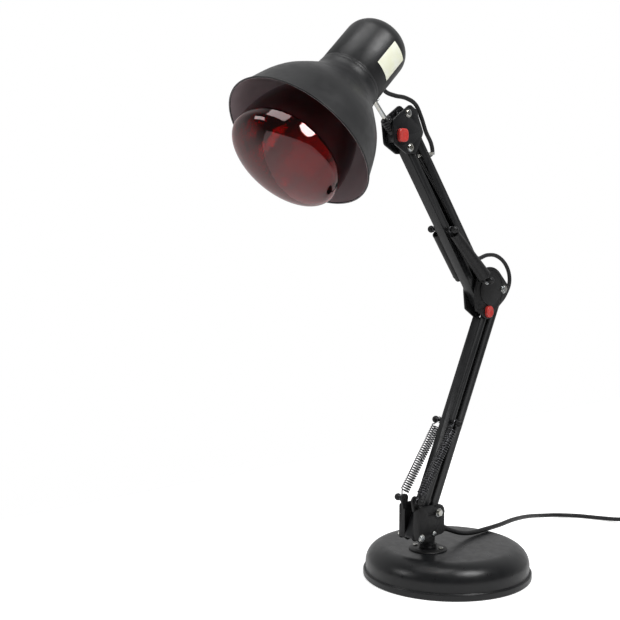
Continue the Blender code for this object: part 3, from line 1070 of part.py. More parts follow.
def coil(start_x, y, z):
    """The cord beyond the switch: a link to the outermost turn, the wound coil of two layers and the plug."""
    floor = CORD_RADIUS
    outer = COIL_RADIUS + COIL_PITCH * COIL_TURNS / 2
    inner = outer - COIL_PITCH * COIL_TURNS
    centre = Vector((start_x + COIL_LEAD, y - outer, 0.0))
    turns = []
    steps = round(COIL_TURNS * COIL_POINTS)
    for i in range(steps + 1):
        share = i / steps
        a = pi / 2 - 2 * pi * COIL_TURNS * share
        radius = outer + (inner - outer) * share
        turns.append(centre + Vector((radius * cos(a), radius * sin(a), floor)))
    last = pi / 2 - 2 * pi * COIL_TURNS
    climb = round(COIL_CLIMB * COIL_POINTS)
    for i in range(1, climb + 1):
        a = last - 2 * pi * COIL_CLIMB * i / climb
        rise = COIL_PITCH * (1.0 - cos(pi * i / climb)) / 2
        turns.append(centre + Vector((inner * cos(a), inner * sin(a), floor + rise)))
    last -= 2 * pi * COIL_CLIMB
    for i in range(1, steps + 1):
        share = i / steps
        a = last - 2 * pi * COIL_TURNS * share
        radius = inner + (outer - inner) * share
        turns.append(centre + Vector((radius * cos(a), radius * sin(a), floor + COIL_PITCH)))
    last -= 2 * pi * COIL_TURNS
    way = Vector((sin(last), -cos(last), 0.0))
    end = turns[-1]
    run = COIL_LEAD - CORD_RADIUS - GAP
    link = [Vector((start_x + LINK_DROP * share, y, z + (floor - z) * (1.0 - cos(pi * (share - 0.1) / 0.9)) / 2))
            for share in (0.1, 0.25, 0.4, 0.55, 0.7, 0.85, 1.0)]
    link = [Vector((start_x, y, z)), *link, Vector((start_x + run, y, floor))]
    tube("cord_link", link, CORD_RADIUS, CORD_BLACK)
    turns.insert(0, turns[0] - Vector((CORD_RADIUS, 0.0, 0.0)))
    least = min((a - b).length for i, a in enumerate(turns) for b in turns[i + COIL_POINTS // 2:])
    print(f"cord_coil: least gap of the coil to itself {(least - 2 * CORD_RADIUS) * 1000:.2f} mm")
    rise = Vector((0.0, 0.0, PLUG_RADIUS - end.z))
    tail = [end + way * (COIL_TAIL * share) + rise * (share ** 2 * (3 - 2 * share)) for share in (0.25, 0.5, 0.75, 1.0)]
    tube("cord_coil", [*turns, *tail], CORD_RADIUS, CORD_BLACK, resolution=1)
    plug(tail[-1], way)


def plug(place, way):
    """The plug, lying on its side, with its two pins."""
    turn = way.to_track_quat("Z", "Y").to_matrix().to_4x4()
    matrix = Matrix.Translation(place + way * GAP) @ turn
    body = turned("plug", [(0.0, PLUG_LENGTH), (PLUG_RADIUS - SWITCH_ROUND / 2, PLUG_LENGTH),
                           (PLUG_RADIUS, PLUG_LENGTH - SWITCH_ROUND / 2), (PLUG_RADIUS, PLUG_LENGTH * 0.45),
                           (PLUG_TAIL_RADIUS, PLUG_LENGTH * 0.12), (PLUG_TAIL_RADIUS, 0.0), (0.0, 0.0)], BLACK_PLASTIC,
                  matrix, POST_STEPS)
    for i, across in enumerate((-0.5, 0.5)):
        join(body, rod(f"pin_{i}", PIN_RADIUS, PLUG_LENGTH - JOIN, PLUG_LENGTH + PIN_LENGTH, None,
                       matrix @ Matrix.Translation((PIN_SPACING * across, 0.0, 0.0)), cutter=True))
    return body


base()
post()
swivel()
arms()
springs()
elbow()
head_bracket()
head()
cords()
print(f"{len(PARTS.objects)} parts")
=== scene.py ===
"""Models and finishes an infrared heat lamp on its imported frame.

Metres, +Z up, in the frame's own axes: the head looks along -Y and the near side of the arms, with the knobs,
is +X. Places in the arms' plane are written (y, z). Round pieces are drawn about their own Z and then placed.
"""

import json
from math import atan2, ceil, cos, hypot, pi, radians, sin

import bmesh
import bpy
from bpy.props import FloatProperty, FloatVectorProperty, IntProperty, PointerProperty
from mathutils import Euler, Matrix, Vector
from mathutils.geometry import convex_hull_2d


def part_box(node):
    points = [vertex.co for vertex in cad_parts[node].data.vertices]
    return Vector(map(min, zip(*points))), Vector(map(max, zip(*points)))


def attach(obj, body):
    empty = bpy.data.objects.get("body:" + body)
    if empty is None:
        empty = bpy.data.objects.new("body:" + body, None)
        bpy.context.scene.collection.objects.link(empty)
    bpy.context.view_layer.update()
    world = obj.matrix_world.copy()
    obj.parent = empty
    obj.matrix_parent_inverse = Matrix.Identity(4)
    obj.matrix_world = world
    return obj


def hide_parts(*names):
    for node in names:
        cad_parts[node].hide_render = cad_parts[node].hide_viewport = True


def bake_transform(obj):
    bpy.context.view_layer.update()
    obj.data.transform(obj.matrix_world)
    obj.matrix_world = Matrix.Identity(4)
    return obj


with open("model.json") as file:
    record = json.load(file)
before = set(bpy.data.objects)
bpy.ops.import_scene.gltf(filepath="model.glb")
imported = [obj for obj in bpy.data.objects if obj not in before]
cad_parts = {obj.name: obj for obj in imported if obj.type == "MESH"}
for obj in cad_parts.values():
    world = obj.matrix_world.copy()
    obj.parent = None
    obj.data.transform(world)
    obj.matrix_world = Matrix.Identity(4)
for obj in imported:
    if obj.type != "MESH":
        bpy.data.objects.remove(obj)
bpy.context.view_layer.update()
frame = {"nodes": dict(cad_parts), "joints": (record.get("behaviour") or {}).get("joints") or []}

bl_info = {
    "name": "Infrared Heat Lamp",
    "version": (1, 0, 0),
    "blender": (4, 5, 0),
    "location": "View3D > Sidebar > Heat Lamp",
    "description": "Models and finishes an infrared heat lamp on its packed frame",
    "category": "Object",
}

WELD = 1e-5                         # merge distance
ROUND_STEPS = 96                    # round a large turned piece
FINE_STEPS = 40                     # round a small one
SIDES = {"near": 1.0, "far": -1.0}

# Places from the frame's joints
PIVOTS = {joint["name"]: Vector(joint["pos_m"]) for joint in frame["joints"]}
POST_AXIS = PIVOTS["post_swivel"]
LOWER_REAR = PIVOTS["lower_arm_swing"]
ELBOW = PIVOTS["upper_front_follow"]
ELBOW_REAR = PIVOTS["elbow_level"]
TILT = PIVOTS["head_tilt"]
STEM_WAY = Vector(next(joint["axis"] for joint in frame["joints"] if joint["name"] == "head_turn"))
LAMP_WAY = Vector((0.0, STEM_WAY.z, -STEM_WAY.y))       # back along the lamp's axis

# The mains cord's route: out of the strain relief, over the dome, down to the floor behind
CORD_ROUTE = (
    (0.0000, -0.0034, 0.0569), (0.0004, 0.0055, 0.0534), (0.0008, 0.0180, 0.0484), (0.0006, 0.0320, 0.0446),
    (0.0002, 0.0480, 0.0424), (-0.0007, 0.0700, 0.0418), (-0.0050, 0.1030, 0.0402), (-0.0220, 0.1540, 0.0345),
    (-0.0480, 0.2200, 0.0218), (-0.0640, 0.2760, 0.0098), (-0.0630, 0.3080, 0.0048), (-0.0460, 0.3300, 0.0032),
    (-0.0180, 0.3430, 0.0034), (0.0060, 0.3480, 0.0052), (0.0200, 0.3490, 0.0078), (0.0320, 0.3490, 0.0085),
)
# The lead that the arms hold, from the lamp's cover to the strain relief
LEAD_ROUTE = (
    (0.0000, -0.1202, 0.5734), (0.0000, -0.1100, 0.5640), (0.0000, -0.0950, 0.5605), (0.0000, -0.0780, 0.5590),
    (0.0000, -0.0620, 0.5530), (0.0000, -0.0520, 0.5390), (0.0000, -0.0440, 0.5230), (0.0000, -0.0345, 0.5090),
    (0.0000, -0.0330, 0.4990), (0.0000, -0.0405, 0.4970), (0.0000, -0.0490, 0.5040), (0.0000, -0.0590, 0.5030),
    (0.0000, -0.0560, 0.4960), (0.0000, -0.0450, 0.4830), (0.0000, -0.0180, 0.4515), (0.0000, 0.0020, 0.4238),
    (0.0000, 0.0240, 0.3960), (0.0000, 0.0390, 0.3790), (0.0000, 0.0510, 0.3765), (0.0000, 0.0667, 0.3800),
    (0.0000, 0.0838, 0.3790), (0.0000, 0.0994, 0.3710), (0.0000, 0.1094, 0.3580), (0.0000, 0.1110, 0.3440),
    (0.0000, 0.1010, 0.3280), (0.0000, 0.0860, 0.3160), (0.0000, 0.0710, 0.2990), (0.0000, 0.0450, 0.2440),
    (0.0000, 0.0100, 0.1730), (0.0000, -0.0180, 0.1160), (0.0000, -0.0290, 0.0960), (0.0000, -0.0375, 0.0900),
    (0.0000, -0.0388, 0.0830), (0.0000, -0.0372, 0.0760), (0.0000, -0.0346, 0.0703), (0.0000, -0.0297, 0.0682),
)
# Where one piece of the lead ends and the next starts, as indices of the route: each crosses one joint
LEAD_CUTS = (0, 2, 5, 14, 22, 28, 35)


class LampColours(bpy.types.PropertyGroup):
    """The colours of the lamp's finishes."""

    paint: FloatVectorProperty(name="Paint", description="Satin paint on the steel and the shade", subtype="COLOR",
                               size=3, min=0.0, max=1.0, default=(0.0085, 0.0088, 0.0096))
    plastic: FloatVectorProperty(name="Plastic", description="Moulded black plastic", subtype="COLOR", size=3,
                                 min=0.0, max=1.0, default=(0.0065, 0.0065, 0.0070))
    # The lining's colour: a light satin grey with a painted pinkish tint, a painted reflection of the bulb's red
    lining: FloatVectorProperty(name="Lining", description="The inside of the shade", subtype="COLOR", size=3,
                                min=0.0, max=1.0, default=(0.46, 0.37, 0.39))
    ruby: FloatVectorProperty(name="Ruby", description="The bulb's glass", subtype="COLOR", size=3, min=0.0, max=1.0,
                              default=(0.30, 0.003, 0.008))
    knob: FloatVectorProperty(name="Knob", description="The two red knobs", subtype="COLOR", size=3, min=0.0,
                              max=1.0, default=(0.46, 0.036, 0.030))
    zinc: FloatVectorProperty(name="Zinc", description="Bright screws, nuts and plates", subtype="COLOR", size=3,
                              min=0.0, max=1.0, default=(0.50, 0.50, 0.48))
    spring: FloatVectorProperty(name="Spring", description="Spring wire", subtype="COLOR", size=3, min=0.0, max=1.0,
                                default=(0.085, 0.085, 0.090))
    jacket: FloatVectorProperty(name="Jacket", description="The cord's jacket", subtype="COLOR", size=3, min=0.0,
                                max=1.0, default=(0.010, 0.010, 0.011))
    label: FloatVectorProperty(name="Label", description="The blank label on the cover", subtype="COLOR", size=3,
                               min=0.0, max=1.0, default=(0.72, 0.73, 0.66))


class LampSizes(bpy.types.PropertyGroup):
    """The sizes that the frame leaves to the looks."""

    edge: FloatProperty(name="Edge", description="Round of a pressed or moulded edge", unit="LENGTH", min=0.0001,
                        max=0.002, default=0.0004)
    cord: FloatProperty(name="Cord", description="Diameter of the mains cord", unit="LENGTH", min=0.002, max=0.012,
                        default=0.0056)
    lead: FloatProperty(name="Lead", description="Diameter of the lead in the arms", unit="LENGTH", min=0.002,
                        max=0.010, default=0.0048)
    spring_wire: FloatProperty(name="Spring wire", description="Thickness of the spring wire", unit="LENGTH",
                               min=0.0004, max=0.002, default=0.0014)
    spring_curls: IntProperty(name="Spring curls", description="Curls of each lower spring", min=10, max=60,
                              default=30)
    label_length: FloatProperty(name="Label length", description="Length of the blank label along the cover",
                                unit="LENGTH", min=0.005, max=0.06, default=0.0346)
    label_width: FloatProperty(name="Label width", description="Width of the blank label round the cover",
                               unit="LENGTH", min=0.005, max=0.06, default=0.0255)


class LampStage(bpy.types.PropertyGroup):
    """The camera and the studio."""

    camera_place: FloatVectorProperty(name="Camera place", description="Where the camera stands",
                                      subtype="TRANSLATION", unit="LENGTH", size=3, default=(0.9185, -1.0603, 0.4446))
    camera_turn: FloatVectorProperty(name="Camera turn", description="How the camera is turned", subtype="EULER",
                                     unit="ROTATION", size=3, default=(radians(84.8), 0.0, radians(47.6)))
    lens: FloatProperty(name="Lens", description="Focal length in millimetres", min=10.0, max=300.0, default=69.3)
    table: FloatVectorProperty(name="Table", description="Depth and width of the pale table", unit="LENGTH",
                               subtype="XYZ", size=2, min=0.5, max=20.0, default=(3.0, 3.2))
    table_edge: FloatProperty(name="Table edge", description="Where the table ends before the shade",
                              unit="LENGTH", default=-0.58)
    table_glow: FloatProperty(name="Table glow", description="What lifts the table to white for the camera",
                              min=0.0, default=0.64)
    key: FloatProperty(name="Key light", description="Power of the large light over the lamp", unit="POWER", min=0.0,
                       default=12.0)
    side: FloatProperty(name="Side light", description="Power of the light beside the lamp", unit="POWER", min=0.0,
                        default=17.0)
    front: FloatProperty(name="Front light", description="Power of the light before the shade", unit="POWER",
                         min=0.0, default=5.0)
    room: FloatProperty(name="Room", description="Strength of the room behind the camera, as gloss shows it",
                        min=0.0, default=0.08)
    behind: FloatProperty(name="Behind", description="Strength of what stands behind the lamp, as gloss shows it",
                          min=0.0, default=0.62)
    sky: FloatProperty(name="Sky", description="Strength of the even light from all round", min=0.0, default=0.32)


class HeatLamp(bpy.types.PropertyGroup):
    """All that a user would change."""

    colours: PointerProperty(type=LampColours)
    sizes: PointerProperty(type=LampSizes)
    stage: PointerProperty(type=LampStage)


def lamp():
    """The scene's own settings."""
    return bpy.context.scene.heat_lamp


# Placing


def at(place, turn=0.0):
    """The matrix of a piece at a place, whose +Z leans by turn towards +Y."""
    return Matrix.Translation(place) @ Matrix.Rotation(-turn, 4, "X")


def along_x(place, sign=1.0):
    """The matrix of a turned piece whose own +Z is +X, or -X where sign is negative."""
    return Matrix.Translation(place) @ Matrix.Rotation(sign * pi / 2, 4, "Y")


def aimed(place, way):
    """The matrix of a turned piece at a place, with its +Z along a way in the arms' plane."""
    return at(place, atan2(way.y, way.z))


def reach(node, matrix=Matrix()):
    """The lowest and highest corners of a CAD node in a matrix's own axes."""
    inverse = matrix.inverted()
    points = [inverse @ vertex.co for vertex in frame["nodes"][node].data.vertices]
    low = Vector([min(point[i] for point in points) for i in range(3)])
    high = Vector([max(point[i] for point in points) for i in range(3)])
    return low, high


COVER_LOW, COVER_HIGH = reach("lamp_cover", aimed(TILT, LAMP_WAY))
NECK = aimed(TILT, LAMP_WAY) @ Vector((0.0, (COVER_LOW.y + COVER_HIGH.y) / 2, COVER_LOW.z))
HEAD = aimed(NECK, LAMP_WAY)        # its +Z runs back along the lamp's axis, its +Y towards the stem


# Making meshes

CREASE = radians(50.0)              # an edge sharper than this is rounded
FLAT = radians(1.0)                 # faces flatter to one another than this are made one
EASE_SHARE = 0.45                   # of a side, the most that the round of its corner takes


def settle(shape):
    """Merges doubles and points the faces outwards."""
    bmesh.ops.remove_doubles(shape, verts=shape.verts, dist=WELD)
    bmesh.ops.recalc_face_normals(shape, faces=shape.faces)
    return shape


def turned(profile, matrix=Matrix(), steps=ROUND_STEPS):
    """A profile of (radius, height) spun round its own Z."""
    shape = bmesh.new()
    dots = [shape.verts.new((radius, 0.0, height)) for radius, height in profile]
    lines = [shape.edges.new(pair) for pair in zip(dots, dots[1:])]
    bmesh.ops.spin(shape, geom=dots + lines, cent=(0.0, 0.0, 0.0), axis=(0.0, 0.0, 1.0), dvec=(0.0, 0.0, 0.0),
                   angle=2 * pi, steps=steps, use_merge=True, use_duplicate=False)
    settle(shape)
    shape.transform(matrix)
    return shape


def slab(outline, low, high, bevel=0.0, segments=3):
    """A flat outline of (y, z) points from low to high along X, with its rims rounded."""
    shape = bmesh.new()
    dots = [shape.verts.new((low, y, z)) for y, z in outline]
    face = shape.faces.new(dots)
    grown = bmesh.ops.extrude_face_region(shape, geom=[face])["geom"]
    bmesh.ops.translate(shape, verts=[g for g in grown if isinstance(g, bmesh.types.BMVert)],
                        vec=(high - low, 0.0, 0.0))
    settle(shape)
    if bevel:
        soften(shape, bevel, segments)
    return shape


def soften(shape, width, segments=2):
    """Rounds the sharp edges."""
    sharp = [edge for edge in shape.edges if edge.is_manifold and edge.calc_face_angle() > CREASE]
    bmesh.ops.bevel(shape, geom=sharp, offset=width, segments=segments, profile=0.5, affect="EDGES",
                    clamp_overlap=True, material=-1)
    return shape


def copied(node, width, segments=2):
    """A CAD node's shape, merged, with its flat faces whole and its edges rounded."""
    shape = bmesh.new()
    shape.from_mesh(frame["nodes"][node].data)
    settle(shape)
    bmesh.ops.dissolve_limit(shape, angle_limit=FLAT, verts=shape.verts, edges=shape.edges)
    return soften(shape, width, segments)


def drawn(shape, face, rise, scale=1.0):
    """Draws a flat face out along its matrix's Z and scales its new rim about the middle."""
    grown = bmesh.ops.extrude_face_region(shape, geom=[face, *face.edges, *face.verts])["geom"]
    face = next(g for g in grown if isinstance(g, bmesh.types.BMFace))
    bmesh.ops.translate(shape, verts=face.verts, vec=(0.0, 0.0, rise))
    middle = face.calc_center_median()
    bmesh.ops.scale(shape, verts=face.verts, vec=(scale, scale, 1.0), space=Matrix.Translation(-middle))
    return face


def disc(radius, steps=FINE_STEPS):
    """A flat round face to draw on, and the mesh that holds it."""
    shape = bmesh.new()
    bmesh.ops.create_circle(shape, cap_ends=True, radius=radius, segments=steps)
    shape.faces.ensure_lookup_table()
    return shape, shape.faces[0]


def gathered(*shapes):
    """Several meshes as one."""
    whole = bmesh.new()
    for shape in shapes:
        mesh = bpy.data.meshes.new("part")
        shape.to_mesh(mesh)
        shape.free()
        whole.from_mesh(mesh)
        bpy.data.meshes.remove(mesh)
    return whole


def eased(points, radius, steps=4):
    """A profile with its inner corners rounded."""
    points = [Vector(point) for point in points]
    smooth = [points[0]]
    for before, here, after in zip(points, points[1:], points[2:]):
        near = min(radius, (before - here).length * EASE_SHARE, (after - here).length * EASE_SHARE)
        one = here + (before - here).normalized() * near
        two = here + (after - here).normalized() * near
        smooth += [one.lerp(here, t).lerp(here.lerp(two, t), t) for t in (i / steps for i in range(steps + 1))]
    return [tuple(point) for point in (*smooth, points[-1])]


def quarter(centre, across, up, steps=16):
    """A quarter of an ellipse from straight above its centre down to its outer side."""
    return [(centre[0] + across * sin(pi / 2 * i / steps), centre[1] + up * cos(pi / 2 * i / steps))
            for i in range(steps + 1)]


def circle(place, radius, steps=FINE_STEPS):
    """A circle of (y, z) points."""
    return [(place[0] + radius * cos(2 * pi * i / steps), place[1] + radius * sin(2 * pi * i / steps))
            for i in range(steps)]


def around(*outlines):
    """The tight outline round several others."""
    points = [Vector(point) for outline in outlines for point in outline]
    return [tuple(points[i]) for i in convex_hull_2d(points)]


def superellipse(place, width, height, power, steps=56):
    """A rounded outline between an ellipse (power 2) and a rectangle."""
    points = []
    for i in range(steps):
        a = 2 * pi * i / steps
        across = abs(cos(a)) ** (2 / power) * (1 if cos(a) >= 0 else -1)
        up = abs(sin(a)) ** (2 / power) * (1 if sin(a) >= 0 else -1)
        points.append((place[0] + width / 2 * across, place[1] + height / 2 * up))
    return points


def inset(profile, distance):
    """The profile moved inwards, for the inner side of a shell."""
    points = [Vector(point) for point in profile]
    moved = []
    for i, point in enumerate(points):
        way = points[min(i + 1, len(points) - 1)] - points[max(i - 1, 0)]
        normal = Vector((way.y, -way.x)).normalized()
        moved.append((max(0.0, point.x + normal.x * distance), point.y + normal.y * distance))
    return moved


def closed(profile):
    """The profile with its last point put exactly on its first."""
    return [*profile[:-1], profile[0]]


# Routes and tubes


def route(points, step):
    """Points an even step apart on a smooth curve through the given ones."""
    places = [Vector(point) for point in points]
    places = [places[0] * 2 - places[1], *places, places[-1] * 2 - places[-2]]
    fine = []
    for before, first, second, after in zip(places, places[1:], places[2:], places[3:]):
        knots = [0.0]
        for one, two in ((before, first), (first, second), (second, after)):
            knots.append(knots[-1] + max((two - one).length, WELD) ** 0.5)
        pieces = max(6, ceil((second - first).length / (step / 4)))
        for i in range(pieces):
            t = knots[1] + (knots[2] - knots[1]) * i / pieces
            level = [before, first, second, after]
            for depth in (1, 2, 3):
                level = [level[k].lerp(level[k + 1], spread(t, knots, k, depth)) for k in range(len(level) - 1)]
            fine.append(level[0])
    fine.append(places[-2])
    lengths = [0.0]
    for one, two in zip(fine, fine[1:]):
        lengths.append(lengths[-1] + (two - one).length)
    count = max(2, round(lengths[-1] / step))
    even, k = [], 0
    for i in range(count + 1):
        goal = lengths[-1] * i / count
        while k < len(lengths) - 2 and lengths[k + 1] < goal:
            k += 1
        even.append(fine[k].lerp(fine[k + 1], (goal - lengths[k]) / (lengths[k + 1] - lengths[k])))
    return even


def spread(t, knots, k, depth):
    """The share between two points in one level of a Catmull-Rom curve's pyramid."""
    if depth == 1:
        low, high = knots[k], knots[k + 1]
    elif depth == 2:
        low, high = knots[k], knots[k + 2]
    else:
        low, high = knots[1], knots[2]
    return (t - low) / (high - low)


def tube(points, radius, sides=16):
    """A round bar along points, as a mesh."""
    curve = bpy.data.curves.new("path", "CURVE")
    curve.dimensions = "3D"
    curve.bevel_depth = radius
    curve.bevel_resolution = max(0, sides // 4 - 1)
    curve.use_fill_caps = True
    spline = curve.splines.new("POLY")
    spline.points.add(len(points) - 1)
    for point, place in zip(spline.points, points):
        point.co = (*place, 1.0)
    spline.use_smooth = True
    item = bpy.data.objects.new("path", curve)
    bpy.context.scene.collection.objects.link(item)
    bpy.context.view_layer.update()
    mesh = bpy.data.meshes.new_from_object(item.evaluated_get(bpy.context.evaluated_depsgraph_get()))
    bpy.data.objects.remove(item, do_unlink=True)
    bpy.data.curves.remove(curve)
    shape = bmesh.new()
    shape.from_mesh(mesh)
    bpy.data.meshes.remove(mesh)
    return settle(shape)


# Finishes


def material(name, colour, roughness, metallic=0.0, specular=0.5):
    """A new material, its node tree and its shader."""
    finish = bpy.data.materials.new(name)
    finish.use_nodes = True
    tree = finish.node_tree
    shader = tree.nodes["Principled BSDF"]
    shader.inputs["Base Color"].default_value = (*colour, 1.0)
    shader.inputs["Roughness"].default_value = roughness
    shader.inputs["Metallic"].default_value = metallic
    shader.inputs["Specular IOR Level"].default_value = specular
    finish.diffuse_color = (*colour, 1.0)
    return finish, tree, shader


def pattern(tree, kind, scale, stretch=(1.0, 1.0, 1.0)):
    """A procedural texture on Object coordinates."""
    place = tree.nodes.new("ShaderNodeTexCoord")
    mapping = tree.nodes.new("ShaderNodeMapping")
    mapping.inputs["Scale"].default_value = stretch
    texture = tree.nodes.new(kind)
    texture.inputs["Scale"].default_value = scale
    tree.links.new(place.outputs["Object"], mapping.inputs["Vector"])
    tree.links.new(mapping.outputs["Vector"], texture.inputs["Vector"])
    return texture


def noise(tree, scale, detail, stretch=(1.0, 1.0, 1.0)):
    """Clouded noise."""
    texture = pattern(tree, "ShaderNodeTexNoise", scale, stretch)
    texture.inputs["Detail"].default_value = detail
    return texture.outputs["Fac"]


def cells(tree, scale):
    """How far a point lies from the middle of its small cell."""
    return pattern(tree, "ShaderNodeTexVoronoi", scale).outputs["Distance"]


def ranged(tree, source, low, high, first=0.3, last=0.7):
    """A texture's value spread over a range."""
    node = tree.nodes.new("ShaderNodeMapRange")
    node.inputs["From Min"].default_value = first
    node.inputs["From Max"].default_value = last
    node.inputs["To Min"].default_value = low
    node.inputs["To Max"].default_value = high
    tree.links.new(source, node.inputs["Value"])
    return node.outputs["Result"]


def tinted(tree, shader, source, *stops):
    """Colours the shader over a texture's value, by stops of a share and a colour."""
    ramp = tree.nodes.new("ShaderNodeValToRGB")
    while len(ramp.color_ramp.elements) < len(stops):
        ramp.color_ramp.elements.new(0.5)
    for element, (share, colour) in zip(ramp.color_ramp.elements, stops):
        element.position = share
        element.color = (*colour, 1.0)
    tree.links.new(source, ramp.inputs["Fac"])
    tree.links.new(ramp.outputs["Color"], shader.inputs["Base Color"])


def glossed(tree, shader, source, low, high):
    """Spreads the shader's roughness over a texture's value."""
    tree.links.new(ranged(tree, source, low, high), shader.inputs["Roughness"])


def relief(tree, shader, height, depth, strength):
    """A bump of a real depth."""
    bump = tree.nodes.new("ShaderNodeBump")
    bump.inputs["Strength"].default_value = strength
    bump.inputs["Distance"].default_value = depth
    tree.links.new(height, bump.inputs["Height"])
    tree.links.new(bump.outputs["Normal"], shader.inputs["Normal"])


def scaled(colour, share):
    """A colour made lighter or darker."""
    return tuple(min(1.0, part * share) for part in colour)


def mottled(name, colour, roughness, vary, grain, depth, specular, cloud=24.0, shade=0.18):
    """A base finish: clouded colour and gloss, and a fine grain in relief."""
    finish, tree, shader = material(name, colour, roughness, specular=specular)
    tinted(tree, shader, noise(tree, cloud, 4.0), (0.3, scaled(colour, 1.0 - shade)),
           (0.7, scaled(colour, 1.0 + shade)))
    glossed(tree, shader, noise(tree, cloud * 5, 6.0), roughness - vary, roughness + vary)
    relief(tree, shader, noise(tree, grain, 2.0), depth, 0.6)
    return finish


def satin_paint(name="satin_paint", roughness=0.32):
    """Sprayed satin paint with a faint orange peel."""
    return mottled(name, tuple(lamp().colours.paint), roughness, 0.05, 700.0, 0.00005, 0.36)


def moulded_plastic():
    """Black plastic with a spark-worn grain from its mould."""
    return mottled("moulded_plastic", tuple(lamp().colours.plastic), 0.46, 0.07, 2600.0, 0.00006, 0.32, 40.0)


def shade_lining():
    """The shade's inside: a satin grey with a painted pinkish tint, a painted reflection of the bulb's red."""
    return mottled("shade_lining", tuple(lamp().colours.lining), 0.46, 0.06, 900.0, 0.00004, 0.35, 18.0, 0.16)


def red_plastic():
    """Semi-gloss red plastic, a little darker in places."""
    return mottled("red_plastic", tuple(lamp().colours.knob), 0.34, 0.06, 1500.0, 0.00003, 0.45, 90.0, 0.12)


def cord_jacket():
    """Soft matt jacket, a little uneven."""
    return mottled("cord_jacket", tuple(lamp().colours.jacket), 0.52, 0.08, 1600.0, 0.00005, 0.35, 60.0, 0.30)


def zinc():
    """Bright zinc with turning marks and a blue and yellow cast."""
    red, green, blue = colour = tuple(lamp().colours.zinc)
    finish, tree, shader = material("zinc", colour, 0.26, 1.0)
    cool, warm = (red * 0.86, green * 0.92, blue), (red, green * 0.95, blue * 0.82)
    tinted(tree, shader, noise(tree, 160.0, 3.0), (0.30, cool), (0.52, colour), (0.72, warm))
    scratches = noise(tree, 900.0, 5.0, (1.0, 1.0, 9.0))
    glossed(tree, shader, scratches, 0.17, 0.38)
    relief(tree, shader, scratches, 0.00004, 0.5)
    return finish


def spring_wire():
    """Hard-drawn wire, dark with oil, brighter along its draw marks."""
    colour = tuple(lamp().colours.spring)
    finish, tree, shader = material("spring_wire", colour, 0.34, 1.0)
    marks = noise(tree, 520.0, 4.0)
    tinted(tree, shader, marks, (0.35, scaled(colour, 0.55)), (0.65, scaled(colour, 1.5)))
    glossed(tree, shader, marks, 0.24, 0.46)
    relief(tree, shader, marks, 0.00003, 0.4)
    return finish


def ruby_glass():
    """Ruby glass: deep red through its wall, with faint cords in the blow."""
    colour = tuple(lamp().colours.ruby)
    finish, tree, shader = material("ruby_glass", colour, 0.035)
    shader.inputs["Transmission Weight"].default_value = 1.0
    shader.inputs["IOR"].default_value = 1.50
    streaks = noise(tree, 26.0, 3.0, (1.0, 1.0, 0.35))
    tinted(tree, shader, streaks, (0.30, scaled(colour, 0.70)), (0.70, scaled(colour, 1.12)))
    relief(tree, shader, noise(tree, 60.0, 2.0), 0.0004, 0.25)
    return finish


def mirror():
    """Vapour-deposited silver inside the bulb, with a fine ripple."""
    finish, tree, shader = material("mirror", (0.90, 0.86, 0.84), 0.08, 1.0)
    ripple = noise(tree, 130.0, 2.0)
    tinted(tree, shader, ripple, (0.3, (0.72, 0.68, 0.66)), (0.7, (0.94, 0.90, 0.88)))
    relief(tree, shader, ripple, 0.0012, 0.5)
    return finish


def nickel_brass():
    """The lamp cap's nickel-plated brass, warm in its thread."""
    finish, tree, shader = material("nickel_brass", (0.66, 0.58, 0.42), 0.28, 1.0)
    clouds = noise(tree, 220.0, 4.0)
    tinted(tree, shader, clouds, (0.35, (0.58, 0.46, 0.28)), (0.65, (0.70, 0.66, 0.56)))
    glossed(tree, shader, clouds, 0.20, 0.38)
    relief(tree, shader, clouds, 0.00005, 0.4)
    return finish


def glazed_ceramic():
    """Cream ceramic under a clear glaze, with pinholes."""
    finish, tree, shader = material("glazed_ceramic", (0.80, 0.77, 0.70), 0.30)
    shader.inputs["Coat Weight"].default_value = 0.8
    shader.inputs["Coat Roughness"].default_value = 0.08
    tinted(tree, shader, noise(tree, 45.0, 5.0), (0.30, (0.72, 0.68, 0.58)), (0.70, (0.84, 0.82, 0.77)))
    relief(tree, shader, ranged(tree, cells(tree, 700.0), 0.0, 1.0, 0.05, 0.2), 0.0001, 0.4)
    return finish


def cast_iron():
    """A sand-cast weight: coarse grain, rust in its pits."""
    finish, tree, shader = material("cast_iron", (0.10, 0.10, 0.10), 0.75, 0.6)
    grain = cells(tree, 420.0)
    tinted(tree, shader, grain, (0.10, (0.090, 0.050, 0.032)), (0.45, (0.10, 0.10, 0.10)))
    relief(tree, shader, grain, 0.0006, 0.7)
    return finish


def foam():
    """Closed-cell foam: small cells, cut flat."""
    finish, tree, shader = material("foam", (0.040, 0.040, 0.043), 0.90, specular=0.2)
    grain = cells(tree, 900.0)
    tinted(tree, shader, grain, (0.10, (0.022, 0.022, 0.024)), (0.60, (0.055, 0.055, 0.058)))
    relief(tree, shader, grain, 0.0003, 0.8)
    return finish


def blank_paper():
    """A plain coated label, a little yellowed in places."""
    red, green, blue = colour = tuple(lamp().colours.label)
    finish, tree, shader = material("blank_paper", colour, 0.42)
    tinted(tree, shader, noise(tree, 55.0, 3.0), (0.30, (red, green, blue * 0.80)), (0.70, scaled(colour, 1.06)))
    relief(tree, shader, noise(tree, 3000.0, 2.0), 0.00002, 0.5)
    return finish


def tinned_pin():
    """Tinned contact metal for the plug's pins."""
    finish, tree, shader = material("tinned_pin", (0.70, 0.66, 0.58), 0.24, 1.0)
    marks = noise(tree, 700.0, 4.0, (8.0, 1.0, 1.0))
    glossed(tree, shader, marks, 0.16, 0.34)
    tinted(tree, shader, marks, (0.3, (0.60, 0.54, 0.44)), (0.7, (0.74, 0.72, 0.66)))
    return finish


